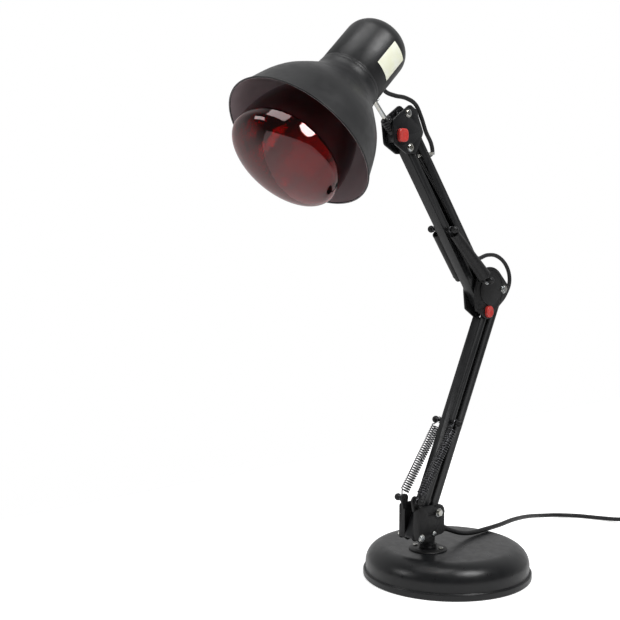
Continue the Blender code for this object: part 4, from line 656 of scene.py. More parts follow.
FINISHES = {
    "paint": (satin_paint, "black_painted_steel"),
    "aluminium": (lambda: satin_paint("satin_aluminium", 0.40), "black_painted_aluminium"),
    "lining": (shade_lining, "black_painted_aluminium"),
    "plastic": (moulded_plastic, "black_plastic"),
    "red": (red_plastic, "red_plastic"),
    "zinc": (zinc, "zinc_steel"),
    "spring": (spring_wire, "spring_steel"),
    "ruby": (ruby_glass, "ruby_glass"),
    "mirror": (mirror, "ruby_glass"),
    "brass": (nickel_brass, "lamp_cap_brass"),
    "ceramic": (glazed_ceramic, "ceramic"),
    "iron": (cast_iron, "cast_iron"),
    "foam": (foam, "foam_pad"),
    "jacket": (cord_jacket, "cord_black"),
    "paper": (blank_paper, None),
    "pin": (tinned_pin, None),
}
MADE = {}


def finish_of(key):
    """A finish, made the first time it is asked for."""
    if key not in MADE:
        MADE[key] = FINISHES[key][0]()
    return MADE[key]


def piece(name, shape, finish, body, stands_for=(), sharp=32.0):
    """A mesh as a piece of the lamp, riding on a body where one is given."""
    mesh = bpy.data.meshes.new(name)
    shape.to_mesh(mesh)
    shape.free()
    mesh.materials.append(finish_of(finish))
    mesh.shade_smooth()
    mesh.set_sharp_from_angle(angle=radians(sharp))
    item = bpy.data.objects.new(name, mesh)
    bpy.context.scene.collection.objects.link(item)
    if body:
        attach(item, body)
    if stands_for:
        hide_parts(*stands_for)
    return item


# Fasteners: a cross-headed screw, a hex nut and the bolts made of them

PAN_RADIUS = 0.0040
PAN_RISE = 0.0016
PAN_SHARES = ((0.40, 1.0), (0.25, 0.95), (0.20, 0.88), (0.15, 0.80))    # of the height, and of the rim before
CROSS_ARM_SHARE = 0.58                  # of the head's radius
CROSS_HALF_SHARE = 0.13
CROSS_DEPTH_SHARE = 0.45                # of the head's height
CROSS_RIM_SHARE = 0.99                  # of the rim before
CROSS_FLOOR_SHARE = 0.82
SMALL_RADIUS = 0.0029                   # a small screw's head
SMALL_RISE = 0.0013
SMALL_SHANK = 0.0016
BOLT_SHANK = 0.0021
HEX_RADIUS = 0.0042                     # a hex bolt's head, and every nut
HEX_RISE = 0.0026
NUT_SHARES = ((0.86, 1.0), (0.14, 0.90))                # of the height, and of the rim before
NUT_EDGE_SHARE = 0.05                   # of the nut's radius
STUB_SHARES = (0.46, 0.50, 0.12)        # of the nut's radius: the bolt's tip, its foot and the tip's round
BOLT_END = 0.0008                       # of a bolt past its nut, as its CAD node has it
STUB = 0.0007
WASHER = 0.00028
WASHER_ROUND = 0.0001
WASHER_SHARE = 1.22                     # of the head's radius
LEAST = 1e-4                            # keeps a share from being divided by zero


def cross_head(radius, height, matrix):
    """A pan head with a cross recess, its foot on the matrix's own floor."""
    shape, face = disc(radius, 48)
    for rise, scale in PAN_SHARES:
        face = drawn(shape, face, height * rise, scale)
    face = drawn(shape, face, 0.0, CROSS_RIM_SHARE)
    for dot in face.verts:
        a = atan2(dot.co.y, dot.co.x)
        across, up = abs(cos(a)), abs(sin(a))
        arm = min(CROSS_ARM_SHARE / max(across, up), CROSS_HALF_SHARE / max(min(across, up), LEAST))
        size = hypot(dot.co.x, dot.co.y)
        dot.co.x *= radius * arm / size
        dot.co.y *= radius * arm / size
    drawn(shape, face, -height * CROSS_DEPTH_SHARE, CROSS_FLOOR_SHARE)
    settle(shape)
    shape.transform(matrix)
    return shape


def shank_of(radius, top, foot, matrix, steps):
    """A plain shank between two heights."""
    return turned([(0.0, top), (radius, top), (radius, foot), (0.0, foot)], matrix, steps)


def screw(radius, shank, node, matrix, steps):
    """A small cross-headed screw in the place of its CAD node, along a matrix's own Z."""
    low, high = reach(node, matrix)
    seat = high.z - SMALL_RISE
    return gathered(cross_head(radius, SMALL_RISE, matrix @ Matrix.Translation((0.0, 0.0, seat))),
                    shank_of(shank, seat, low.z, matrix, steps))


def hex_nut(radius, height, matrix, stub=0.0):
    """A chamfered nut, with the end of its bolt."""
    shape, face = disc(radius, 6)
    for rise, scale in NUT_SHARES:
        face = drawn(shape, face, height * rise, scale)
    settle(shape)
    soften(shape, radius * NUT_EDGE_SHARE)
    if stub:
        tip, foot, edge = (radius * share for share in STUB_SHARES)
        end = turned(eased([(0.0, height + stub), (tip, height + stub), (foot, height / 2), (0.0, height / 2)], edge),
                     steps=24)
        shape = gathered(shape, end)
    shape.transform(matrix)
    return shape


def washer(shank, radius, matrix):
    """A thin washer under a head."""
    outline = [(shank, 0.0), (radius, 0.0), (radius, -WASHER), (shank, -WASHER), (shank, 0.0)]
    return turned(eased(outline, WASHER_ROUND, 2), matrix, FINE_STEPS)


def bolt_piece(node, body, radius, hexagon=False, nut=True, shank=BOLT_SHANK):
    """A bolt in the place of its CAD node: head near, nut far, washers under both."""
    low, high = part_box(node)
    middle = (low + high) / 2
    rise = HEX_RISE if hexagon else PAN_RISE
    near = Vector((high.x - rise, middle.y, middle.z))
    end = Vector((low.x, middle.y, middle.z))
    shapes = [(hex_nut if hexagon else cross_head)(radius, rise, along_x(near))]
    if nut:
        end.x += HEX_RISE + BOLT_END
        shapes.append(hex_nut(HEX_RADIUS, HEX_RISE, along_x(end, -1.0), STUB))
    shapes.append(shank_of(shank, near.x, end.x, along_x((0.0, middle.y, middle.z)), 24))
    if nut:
        for place, sign in ((near, 1.0), (end, -1.0)):
            shapes.append(washer(shank, radius * WASHER_SHARE, along_x(place, sign)))
    return piece(node.replace("bolt", "fastener"), gathered(*shapes), "zinc", body, (node,))


class HEATLAMP_OT_fasteners(bpy.types.Operator):
    """Models every bolt, nut and screw in the arms and the base"""

    bl_idname = "heatlamp.fasteners"
    bl_label = "Fasteners"

    def execute(self, context):
        for node, body, hexagon in (
                ("lower_front_pivot", "swivel", False), ("lower_rear_pivot", "swivel", True),
                ("elbow_main", "elbow", False), ("elbow_upper", "elbow", False), ("elbow_rear", "elbow", True),
                ("head_low", "head_bracket", False), ("head_up", "head_bracket", False),
                ("head_tilt", "yoke", False)):
            bolt_piece(f"{node}_bolt", body, HEX_RADIUS if hexagon else PAN_RADIUS, hexagon)
        bolt_piece("cheek_bolt", "swivel", SMALL_RADIUS, nut=False, shank=SMALL_SHANK)
        for i in (1, 2):
            node = f"escutcheon_screw_{i}"
            low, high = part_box(node)
            matrix = at(((low.x + high.x) / 2, (low.y + high.y) / 2, 0.0))
            shape = screw(SMALL_RADIUS, SMALL_SHANK, node, matrix, 24)
            piece(f"escutcheon_fixing_{i}", shape, "zinc", "base", (node,))
        return {"FINISHED"}


# Base

DOME_ROUND = 0.0232
LIP_WIDTH = 0.0028
LIP_HEIGHT = 0.0084
LIP_ROUND = 0.0006
LIP_SLOPE = 0.0004                      # above and below the lip's top, where the wall meets it
LIP_FOLD = 0.0009                       # from the wall out to where the lip's top is flat
LIP_EDGE = 0.0010
LIP_FOOT = 0.0008
WALL_TOP = 0.0165
WALL_START = 0.0020                     # of the wall under the dome
SHEET = 0.0012
PLATE_ROUND = 0.0004
PAD_ROUND = 0.0007
ESCUTCHEON_BORE = 0.0063
ESCUTCHEON_ROUND = 0.0005
ESCUTCHEON_SHARES = (0.80, 0.87)        # of its radius: where the flat ends and where the slope starts
ESCUTCHEON_DROPS = (0.0005, 0.0009, 0.0018)
ESCUTCHEON_EDGE = 0.0008


class HEATLAMP_OT_base(bpy.types.Operator):
    """Models the domed shell, its rolled lip, the bottom plate, the foam pad and the escutcheon"""

    bl_idname = "heatlamp.base"
    bl_label = "Base"

    def execute(self, context):
        self.dome()
        self.layer("base_bottom_plate", "bottom_plate", "zinc", PLATE_ROUND)
        plate = self.layer("base_pad", "foot_pad", "foam", PAD_ROUND)
        self.escutcheon()
        return {"FINISHED"}

    def dome(self):
        """The pressed shell, open below."""
        low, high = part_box("base_shell")
        radius, top, foot = high.x, high.z, low.z
        wall = radius - LIP_WIDTH
        flat = wall - DOME_ROUND
        round_over = quarter((flat, WALL_TOP), DOME_ROUND, top - WALL_TOP, 22)
        lip = eased([(wall, WALL_TOP - WALL_START), (wall, LIP_HEIGHT + LIP_SLOPE),
                     (wall + LIP_ROUND, LIP_HEIGHT - LIP_SLOPE),
                     (wall + LIP_FOLD, LIP_HEIGHT), (radius - LIP_ROUND, LIP_HEIGHT), (radius, LIP_HEIGHT - LIP_EDGE),
                     (radius, foot + LIP_FOOT), (radius - LIP_ROUND, foot)], LIP_ROUND, 5)
        outer = [(0.0, top), (flat / 2, top), *round_over, *lip]
        inner = [point for point in reversed(inset(outer, SHEET)) if point[0] < radius - SHEET - WELD]
        shell = turned([*outer, (radius - SHEET, foot), *inner], steps=160)
        piece("base_dome", shell, "paint", "base", ("base_shell",), 40.0)

    def layer(self, node, name, finish, edge):
        """A round flat layer in the base's foot."""
        low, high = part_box(node)
        rim = eased([(0.0, high.z), (high.x, high.z), (high.x, low.z), (0.0, low.z)], edge)
        return piece(name, turned(rim), finish, "base", (node,))

    def escutcheon(self):
        """The moulded ring round the post."""
        low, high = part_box("escutcheon_ring")
        radius = (high.x - low.x) / 2
        first, second, third = (high.z - drop for drop in ESCUTCHEON_DROPS)
        ring = eased([(ESCUTCHEON_BORE, low.z), (ESCUTCHEON_BORE, high.z), (radius * ESCUTCHEON_SHARES[0], high.z),
                      (radius * ESCUTCHEON_SHARES[1], first), (radius - ESCUTCHEON_EDGE, second), (radius, third),
                      (radius, low.z), (ESCUTCHEON_BORE, low.z)], ESCUTCHEON_ROUND)
        piece("escutcheon", turned(closed(ring), at((0.0, POST_AXIS.y, 0.0))), "plastic", "base",
              ("escutcheon_ring",))


POST_STEM = 0.0080
POST_NECK = 0.0048
POST_NECK_EDGE = 0.0006
POST_PIN = 0.0060
POST_EDGE = 0.0008
POST_ROUND = 0.0003
POST_GAP = 0.0003                       # over the escutcheon
RIDGES = 4
RIDGES_HEIGHT = 0.0050
RIDGES_SLOPE = 0.0030                   # above them, where the stem widens
RIDGE_DEPTH = 0.0009
RIDGE_SHARES = (0.85, 0.30, 0.15)       # of one ridge's height


class HEATLAMP_OT_post(bpy.types.Operator):
    """Models the post with its ridged collar"""

    bl_idname = "heatlamp.post"
    bl_label = "Post"

    def execute(self, context):
        low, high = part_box("post")
        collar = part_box("escutcheon_ring")[1].z + POST_GAP
        wide = (high.x - low.x) / 2
        shoulder = POST_AXIS.z
        profile = [(0.0, high.z), (POST_NECK - POST_NECK_EDGE, high.z), (POST_NECK, high.z - POST_NECK_EDGE),
                   (POST_NECK, shoulder), (POST_STEM - POST_EDGE, shoulder), (POST_STEM, shoulder - POST_EDGE),
                   (POST_STEM, collar + RIDGES_HEIGHT + RIDGES_SLOPE),
                   (POST_STEM + RIDGE_DEPTH, collar + RIDGES_HEIGHT)]
        pitch = RIDGES_HEIGHT / RIDGES
        for i in reversed(range(RIDGES)):
            foot = collar + pitch * i
            top, crest, valley = (foot + pitch * share for share in RIDGE_SHARES)
            profile += [(wide, top), (wide, crest), (wide - RIDGE_DEPTH, valley), (wide - RIDGE_DEPTH, foot)]
        profile += [(POST_PIN, collar), (POST_PIN, low.z + POST_EDGE), (POST_PIN - POST_EDGE, low.z), (0.0, low.z)]
        piece("post_stem", turned(eased(profile, POST_ROUND, 3), at((0.0, POST_AXIS.y, 0.0)), 64), "paint", "swivel",
              ("post",))
        return {"FINISHED"}


BLOCK_ROUND = 0.0006
BEAD_RADIUS = 0.0072                    # of the bead round the rear pivot
BEAD_WIDTH = 0.0010
BEAD_RISE = 0.0006
BEAD_SUNK = 0.0002                      # into the cheek
RELIEF_PLACE = Vector((0.0, -0.0260, 0.0662))
RELIEF_DROP = radians(22.0)
RELIEF_NECK = 0.0040
RELIEF_TIP = 0.0036
RELIEF_COLLAR = (0.0034, 0.0066)        # of its foot and its top, along the sleeve
RELIEF_MOUTH = 0.0012                   # plain at the tip
RELIEF_BORE = 0.0030
RELIEF_ROUND = 0.0003
GROOVES = 5
GROOVE_DEPTH = 0.0008
GROOVE_SHARES = ((0.30, 0.0), (0.42, 1.0), (0.72, 1.0), (0.84, 0.0))    # along a groove, and of its depth


class HEATLAMP_OT_bracket(bpy.types.Operator):
    """Models the swivel's block, its two moulded cheeks and the strain relief"""

    bl_idname = "heatlamp.bracket"
    bl_label = "Bracket"

    def execute(self, context):
        piece("swivel_casting", copied("swivel_block", BLOCK_ROUND, 3), "paint", "swivel", ("swivel_block",))
        for side, sign in SIDES.items():
            node = f"bracket_cheek_{side}"
            piece(f"cheek_{side}", copied(node, lamp().sizes.edge), "plastic", "swivel", (node,))
            self.bead(side, sign)
        self.strain_relief()
        return {"FINISHED"}

    def bead(self, side, sign):
        """A raised bead round the rear pivot."""
        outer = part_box(f"bracket_cheek_{side}")[1 if sign > 0 else 0].x
        inner = BEAD_RADIUS - BEAD_WIDTH
        ring = eased([(BEAD_RADIUS, 0.0), (BEAD_RADIUS, BEAD_RISE), (inner, BEAD_RISE), (inner, 0.0),
                      (BEAD_RADIUS, 0.0)], BEAD_RISE / 2, 3)
        place = Vector((outer - sign * BEAD_SUNK, LOWER_REAR.y, LOWER_REAR.z))
        piece(f"pivot_bead_{side}", turned(closed(ring), along_x(place, sign), 48), "plastic", "swivel")

    def strain_relief(self):
        """A tapered sleeve with bending grooves."""
        matrix = aimed(RELIEF_PLACE, Vector((0.0, cos(RELIEF_DROP), -sin(RELIEF_DROP))))
        low, high = reach("cord_relief", matrix)
        wide = (high.x - low.x) / 2
        bore = lamp().sizes.cord / 2
        foot, shoulder = RELIEF_COLLAR
        profile = [(0.0, low.z), (RELIEF_NECK, low.z), (RELIEF_NECK, foot), (wide, foot), (wide, shoulder)]
        run = high.z - shoulder - RELIEF_MOUTH
        for i in range(GROOVES):
            for share, deep in GROOVE_SHARES:
                z = shoulder + run * (i + share) / GROOVES
                skin = wide + (RELIEF_TIP - wide) * (z - shoulder) / run
                profile.append((skin - GROOVE_DEPTH * deep, z))
        profile += [(RELIEF_TIP, high.z), (bore, high.z), (bore, high.z - RELIEF_BORE), (0.0, high.z - RELIEF_BORE)]
        piece("strain_relief", turned(eased(profile, RELIEF_ROUND, 3), matrix, 48), "jacket", "swivel",
              ("cord_relief",))


# Arms

BARS = {
    "lower_front_bar": "lower_front", "lower_rear_bar": "lower_rear", "upper_front_bar": "upper_front",
    "upper_rear_bar": "upper_rear",
}
BAR_ROUND = 0.0003
PEG_RADIUS = 0.0022
BALL_RADIUS = 0.0042
BALL_END = 2.55                         # the angle from its tip where a ball meets its rod
BALL_STEPS = 14
SEAM_HALF = 0.12                        # of a ball's parting line, an angle
SEAM_SHARE = 0.02                       # how far it stands out, of the ball's radius
EAR_FACE = 0.0095                       # x of the face that a stud stands on
EAR_GAP = 0.0003
FLANGE_RADIUS = 0.0034
FLANGE_HIGH = 0.0012
FLANGE_BLEND = 0.0030
STUD_ROUND = 0.0003


def ball(place):
    """A ball's outline from its tip to where it meets its rod, with a parting line."""
    outline = []
    for i in range(BALL_STEPS + 1):
        a = BALL_END * i / BALL_STEPS
        seam = 1.0 + SEAM_SHARE * (abs(a - pi / 2) < SEAM_HALF)
        outline.append((BALL_RADIUS * sin(a) * seam, place + BALL_RADIUS * cos(a)))
    outline.append((PEG_RADIUS, place - BALL_RADIUS))
    return outline


class HEATLAMP_OT_arms(bpy.types.Operator):
    """Models the four pressed channels and the two pegs through the front ones"""

    bl_idname = "heatlamp.arms"
    bl_label = "Arms"

    def execute(self, context):
        for node, body in BARS.items():
            piece(node.replace("bar", "channel"), copied(node, BAR_ROUND), "paint", body, (node,))
        for node, body in (("lower_peg_rod", "lower_front"), ("upper_peg_rod", "upper_front")):
            low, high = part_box(node)
            middle = (low + high) / 2
            tip = ball(high.x - BALL_RADIUS)
            profile = [*tip, *((radius, -height) for radius, height in reversed(tip))]
            piece(node.replace("rod", "pin"), turned(profile, along_x((0.0, middle.y, middle.z)), 32), "plastic",
                  body, (node,))
        return {"FINISHED"}


class HEATLAMP_OT_studs(bpy.types.Operator):
    """Models the springs' studs on the swivel's ears and on the elbow"""

    bl_idname = "heatlamp.studs"
    bl_label = "Studs"

    def execute(self, context):
        flange = EAR_FACE + EAR_GAP
        for node, body in (("anchor_stud", "swivel"), ("elbow_stud", "elbow")):
            for side, sign in SIDES.items():
                low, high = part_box(f"{node}_{side}")
                middle = (low + high) / 2
                tip = abs(high.x if sign > 0 else low.x)
                foot = abs(low.x if sign > 0 else high.x)
                stem = eased([(PEG_RADIUS, flange + FLANGE_BLEND), (PEG_RADIUS, flange + FLANGE_HIGH),
                              (FLANGE_RADIUS, flange + FLANGE_HIGH), (FLANGE_RADIUS, flange), (PEG_RADIUS, flange),
                              (PEG_RADIUS, foot), (0.0, foot)], STUD_ROUND, 3)
                shape = turned([*ball(tip - BALL_RADIUS), *stem], along_x((0.0, middle.y, middle.z), sign), 32)
                piece(f"{node}_pin_{side}", shape, "plastic", body, (f"{node}_{side}",))
        return {"FINISHED"}


# Springs

HOOK_X = 0.0127                         # of the hooks on the anchor studs and the pegs
ELBOW_HOOK_X = 0.0195
LOWER_COIL = 0.0050                     # radius of the wire's line
UPPER_COIL = 0.0036
UPPER_CURLS = 26
SPRING_LEAD = 0.0085                    # from an anchor to the first curl
CURL_POINTS = 18
HOOK_RADIUS = 0.0034
HOOK_HALF = 150.0                       # degrees to either side of its foot
HOOK_STEPS = 15
HOOK_RISES = ((0.5, 0.55), (0.85, 0.8))  # shares of the coil's radius and of the lead
SLEEVE_END = 0.0070                     # from an anchor to the sleeve's mouth
SLEEVE_TOP = 0.0058                     # radius at the peg
SLEEVE_WIDE = 0.0082                    # radius at the elbow
SLEEVE_WALL = 0.0010
SLEEVE_LIP = 0.0003
SLEEVE_WAIST = 0.0001
SLEEVE_LIP_PLACES = (0.0015, 0.0030)    # from the mouth
SLEEVE_ROUND = 0.0008
SLEEVE_SHARES = (0.15, 0.3, 0.5, 0.7, 0.85)
SLEEVE_TAPER = 0.9                      # the power of the taper


def helix(low, high, coil, curls):
    """A wound spring's line with a hook at either end, from one anchor to the other."""
    length = (high - low).length
    matrix = Matrix.Translation(low) @ (high - low).to_track_quat("Z", "X").to_matrix().to_4x4()
    start = []
    for i in range(HOOK_STEPS + 1):
        a = radians(-HOOK_HALF + 2 * HOOK_HALF * i / HOOK_STEPS)
        start.append(Vector((HOOK_RADIUS * sin(a), 0.0, -HOOK_RADIUS * cos(a))))
    start += [Vector((coil * across, 0.0, SPRING_LEAD * up)) for across, up in HOOK_RISES]
    wound = length - 2 * SPRING_LEAD
    steps = curls * CURL_POINTS
    line = []
    for i in range(steps + 1):
        a = 2 * pi * i / CURL_POINTS
        line.append(Vector((coil * cos(a), coil * sin(a), SPRING_LEAD + wound * i / steps)))
    end = [Vector((p.x, -p.y, length - p.z)) for p in reversed(start)]
    return [matrix @ point for point in (*start, *line, *end)]


class HEATLAMP_OT_springs(bpy.types.Operator):
    """Models the bare lower springs, the upper ones and the sleeves over those"""

    bl_idname = "heatlamp.springs"
    bl_label = "Springs"

    def execute(self, context):
        wire = lamp().sizes.spring_wire / 2
        for side, sign in SIDES.items():
            lower = [self.middle(f"anchor_stud_{side}"), self.middle("lower_peg_rod")]
            for place in lower:
                place.x = sign * HOOK_X
            line = helix(*lower, LOWER_COIL, lamp().sizes.spring_curls)
            item = piece(f"lower_coil_{side}", tube(line, wire, 8), "spring", None, (f"lower_spring_{side}",), 60.0)
            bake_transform(item)
            upper = [self.middle("upper_peg_rod"), self.middle(f"elbow_stud_{side}")]
            upper[0].x = sign * HOOK_X
            upper[1].x = sign * ELBOW_HOOK_X
            line = helix(*upper, UPPER_COIL, UPPER_CURLS)
            item = piece(f"upper_coil_{side}", tube(line, wire, 8), "spring", None, (f"upper_spring_{side}",), 60.0)
            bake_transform(item)
            self.sleeve(side, upper)
        return {"FINISHED"}

    def middle(self, node):
        """The middle of a CAD node's box."""
        low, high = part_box(node)
        return (low + high) / 2

    def sleeve(self, side, ends):
        """A smooth tapered sleeve with a rolled mouth at either end."""
        high, low = ends
        length = (high - low).length - 2 * SLEEVE_END
        turn = (high - low).to_track_quat("Z", "X").to_matrix().to_4x4()
        foot = Matrix.Translation(low) @ turn @ Matrix.Translation((0.0, 0.0, SLEEVE_END))
        near, far = SLEEVE_LIP_PLACES
        outer = [(SLEEVE_TOP, length), (SLEEVE_TOP + SLEEVE_LIP, length - near),
                 (SLEEVE_TOP + SLEEVE_WAIST, length - far)]
        outer += [(SLEEVE_TOP + (SLEEVE_WIDE - SLEEVE_TOP) * (share ** SLEEVE_TAPER), length * (1.0 - share))
                  for share in SLEEVE_SHARES]
        outer += [(SLEEVE_WIDE - SLEEVE_WAIST, far), (SLEEVE_WIDE + SLEEVE_LIP, near), (SLEEVE_WIDE, 0.0)]
        ring = eased(outer, SLEEVE_ROUND, 3)
        inner = [(r - SLEEVE_WALL, z) for r, z in reversed(ring)]
        item = piece(f"spring_sleeve_{side}", turned([*ring, *inner, ring[0]], foot, 48), "plastic", None,
                     (f"upper_sleeve_{side}",))
        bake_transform(item)


# Elbow

DISC_RADIUS = 0.0275
DISC_STEP = (0.0035, 0.0260)        # of its middle from the elbow's pivot
CORNER_STEP = (-0.0185, 0.0050)
PLATE_X = (0.0069, 0.0095)
RIB_LINES = 3
RIB_STEP = 0.0048
RIB_FOOT = 0.0018                   # of the lowest rib under the corner
RIB_ENDS = (0.0002, 0.0072)         # after the corner and before the pivot
RIB_LEAN = 0.0004                   # how much later each rib starts
RIB_WIDTH = 0.0012
RIB_X = (-0.0004, 0.0007)           # from the plate's face
REAR_RADIUS = 0.0095                # of the plate's corners round its pivots
PIVOT_RADIUS = 0.0090
CORNER_RADIUS = 0.0030
PLATE_EDGE = 0.0006
RAISED_STEP = 0.0092                # of the raised disc inside the large one
RAISED_X = (-0.0010, 0.0012)
GROOVE = ((0.0025, 0.0), (0.0028, 0.0005), (0.0036, 0.0005), (0.0039, 0.0), (0.0025, 0.0))     # from the disc's rim
GROOVE_SUNK = 0.0001


class HEATLAMP_OT_elbow(bpy.types.Operator):
    """Models the elbow's two plates with their raised discs and ribs, and the red knob"""

    bl_idname = "heatlamp.elbow"
    bl_label = "Elbow"

    def execute(self, context):
        disc_place = (ELBOW.y + DISC_STEP[0], ELBOW.z + DISC_STEP[1])
        corner = (ELBOW.y + CORNER_STEP[0], ELBOW.z + CORNER_STEP[1])
        outline = around(circle(disc_place, DISC_RADIUS, 96), circle((ELBOW_REAR.y, ELBOW_REAR.z), REAR_RADIUS, 48),
                         circle((ELBOW.y, ELBOW.z), PIVOT_RADIUS, 48), circle(corner, CORNER_RADIUS, 24))
        low, high = PLATE_X
        for side, sign in SIDES.items():
            plate = slab(outline, low, high, PLATE_EDGE)
            raised = slab(circle(disc_place, DISC_RADIUS - RAISED_STEP, 96), high + RAISED_X[0], high + RAISED_X[1],
                          PLATE_EDGE)
            groove = turned([(DISC_RADIUS - step, rise) for step, rise in GROOVE],
                            along_x((high - GROOVE_SUNK, *disc_place)), 96)
            ribs = [self.rib(corner, i, high) for i in range(RIB_LINES)]
            whole = gathered(plate, raised, groove, *ribs)
            if sign < 0:
                bmesh.ops.scale(whole, vec=(-1.0, 1.0, 1.0), verts=whole.verts)
                bmesh.ops.reverse_faces(whole, faces=whole.faces)
            piece(f"elbow_side_{side}", whole, "plastic", "elbow", (f"elbow_plate_{side}",))
        knob("elbow_knob", ELBOW, "elbow_cap", 0.0120, 0.0140, 2.4)
        return {"FINISHED"}

    def rib(self, corner, i, face):
        """One of the short level ribs beside the knob."""
        z = corner[1] - RIB_FOOT + i * RIB_STEP
        first = corner[0] + RIB_ENDS[0] + RIB_LEAN * i
        last = ELBOW.y - RIB_ENDS[1]
        return slab(superellipse(((first + last) / 2, z), last - first, RIB_WIDTH, 3.5), face + RIB_X[0],
                    face + RIB_X[1], 0.0003, 2)


# A knob's face, ring by ring: shares of its height and of the rim before
KNOB_SHARES = ((0.55, 1.0), (0.22, 0.975), (0.13, 0.92), (0.06, 0.86), (0.0, 0.80), (-0.07, 0.86), (-0.05, 0.70),
               (-0.02, 0.50))
FACING_X = Matrix(((0, 0, 1, 0), (1, 0, 0, 0), (0, 1, 0, 0), (0, 0, 0, 1)))     # takes a shape's own Z to X


def knob(node, place, body, width, height, power):
    """A red knob: a domed face with a shallow dish."""
    low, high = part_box(node)
    outline = superellipse((0.0, 0.0), width, height, power)
    shape = bmesh.new()
    face = shape.faces.new([shape.verts.new((y, z, 0.0)) for y, z in outline])
    tall = high.x - low.x
    for rise, scale in KNOB_SHARES:
        face = drawn(shape, face, tall * rise, scale)
    settle(shape)
    shape.transform(Matrix.Translation((low.x, place.y, place.z)) @ FACING_X)
    return piece(node.replace("knob", "button"), shape, "red", body, (node,))


# Head

HUB_RADIUS = 0.0085
HUB_EDGE = 0.0007
NECK_RADIUS = 0.0062
NECK_RUN = 0.0240
NECK_RINGS = 4
NECK_GROOVE = ((0.0062, 0.0), (0.0054, 0.0006), (0.0054, 0.0014), (0.0062, 0.0020))     # radii and places along it
NECK_FIRST, NECK_STEP = 0.42, 0.13  # shares of the run where the grooves lie
STEM_RADIUS = 0.0026
STEM_FLANGE = 0.0075
STEM_THICK = 0.0024
STEM_INSIDE = 0.0030                # of the stem's end inside the cover
STEM_SEAT = 0.0013                  # the cover's wall and the gap before it


class HEATLAMP_OT_head_bracket(bpy.types.Operator):
    """Models the two plates at the top of the arms, the hub, the stem and the knob"""

    bl_idname = "heatlamp.head_bracket"
    bl_label = "Head bracket"

    def execute(self, context):
        for side in SIDES:
            node = f"head_plate_{side}"
            piece(f"head_side_{side}", copied(node, 0.0005, 3), "paint", "head_bracket", (node,))
        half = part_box("head_hub")[1].x
        barrel = eased([(0.0, half), (HUB_RADIUS, half), (HUB_RADIUS, -half), (0.0, -half)], HUB_EDGE)
        neck = [(0.0, 0.0), (NECK_RADIUS, 0.0)]
        for i in range(NECK_RINGS):
            z = NECK_RUN * (NECK_FIRST + NECK_STEP * i)
            neck += [(radius, z + rise) for radius, rise in NECK_GROOVE]
        neck += [(NECK_RADIUS, NECK_RUN - 0.0010), (NECK_RADIUS - 0.0010, NECK_RUN), (0.0, NECK_RUN)]
        piece("tilt_hub", gathered(turned(barrel, along_x((0.0, TILT.y, TILT.z)), 64),
                                   turned(eased(neck, 0.0003, 3), aimed(TILT, STEM_WAY), 48)), "paint", "yoke",
              ("head_hub",))
        knob("head_knob", TILT, "head_cap", 0.0150, 0.0150, 3.2)
        self.stem()
        return {"FINISHED"}

    def stem(self):
        """The steel stem with its flange on the cover."""
        matrix = aimed(TILT, STEM_WAY)
        low, high = reach("stem", matrix)
        radius, wide, thick = STEM_RADIUS, STEM_FLANGE, STEM_THICK
        inside = high.z - STEM_INSIDE
        seat = inside - STEM_SEAT
        profile = [(0.0, high.z), (wide / 2, high.z), (wide / 2, inside), (radius, inside), (radius, seat),
                   (wide - 0.0005, seat), (wide, seat - 0.0005), (wide, seat - thick / 2),
                   (wide * 0.62, seat - thick), (radius, seat - thick), (radius, low.z), (0.0, low.z)]
        piece("head_stem", turned(eased(profile, 0.0003, 3), matrix, 48), "zinc", "head", ("stem",))


SHADE_SHARES = ((0.10, 0.02), (0.16, 0.07), (0.22, 0.16), (0.31, 0.31), (0.40, 0.455), (0.50, 0.60), (0.63, 0.735),
                (0.75, 0.825), (0.88, 0.91), (1.0, 1.0))
SHADE_NECK = 0.0368
ALUMINIUM = 0.0010
LINING_FROM = -0.0010               # the lining starts this far before the neck
BEAD_WIRE = 0.0010                  # radius of the rim's bead
BEAD_STEPS = 14
DOME_MIDDLE = 0.0090                # of the cover's round over: from its axis
DOME_RISE = 0.0250
SKIRT = ((0.0, 0.0050), (0.0004, 0.0044), (0.0004, 0.0036), (0.0, 0.0030))      # steps in and places of the groove
GROMMET_RADIUS = 0.0030
GROMMET_WIRE = 0.0009
GROMMET_STEPS = 12
GROMMET_PLACE = 0.0378              # along the cover
LABEL_MIDDLE = 0.0370
LABEL_TURN = radians(8.4)
LABEL_STEPS = 20
LABEL_GAP = 0.00018
PAPER = 0.00012


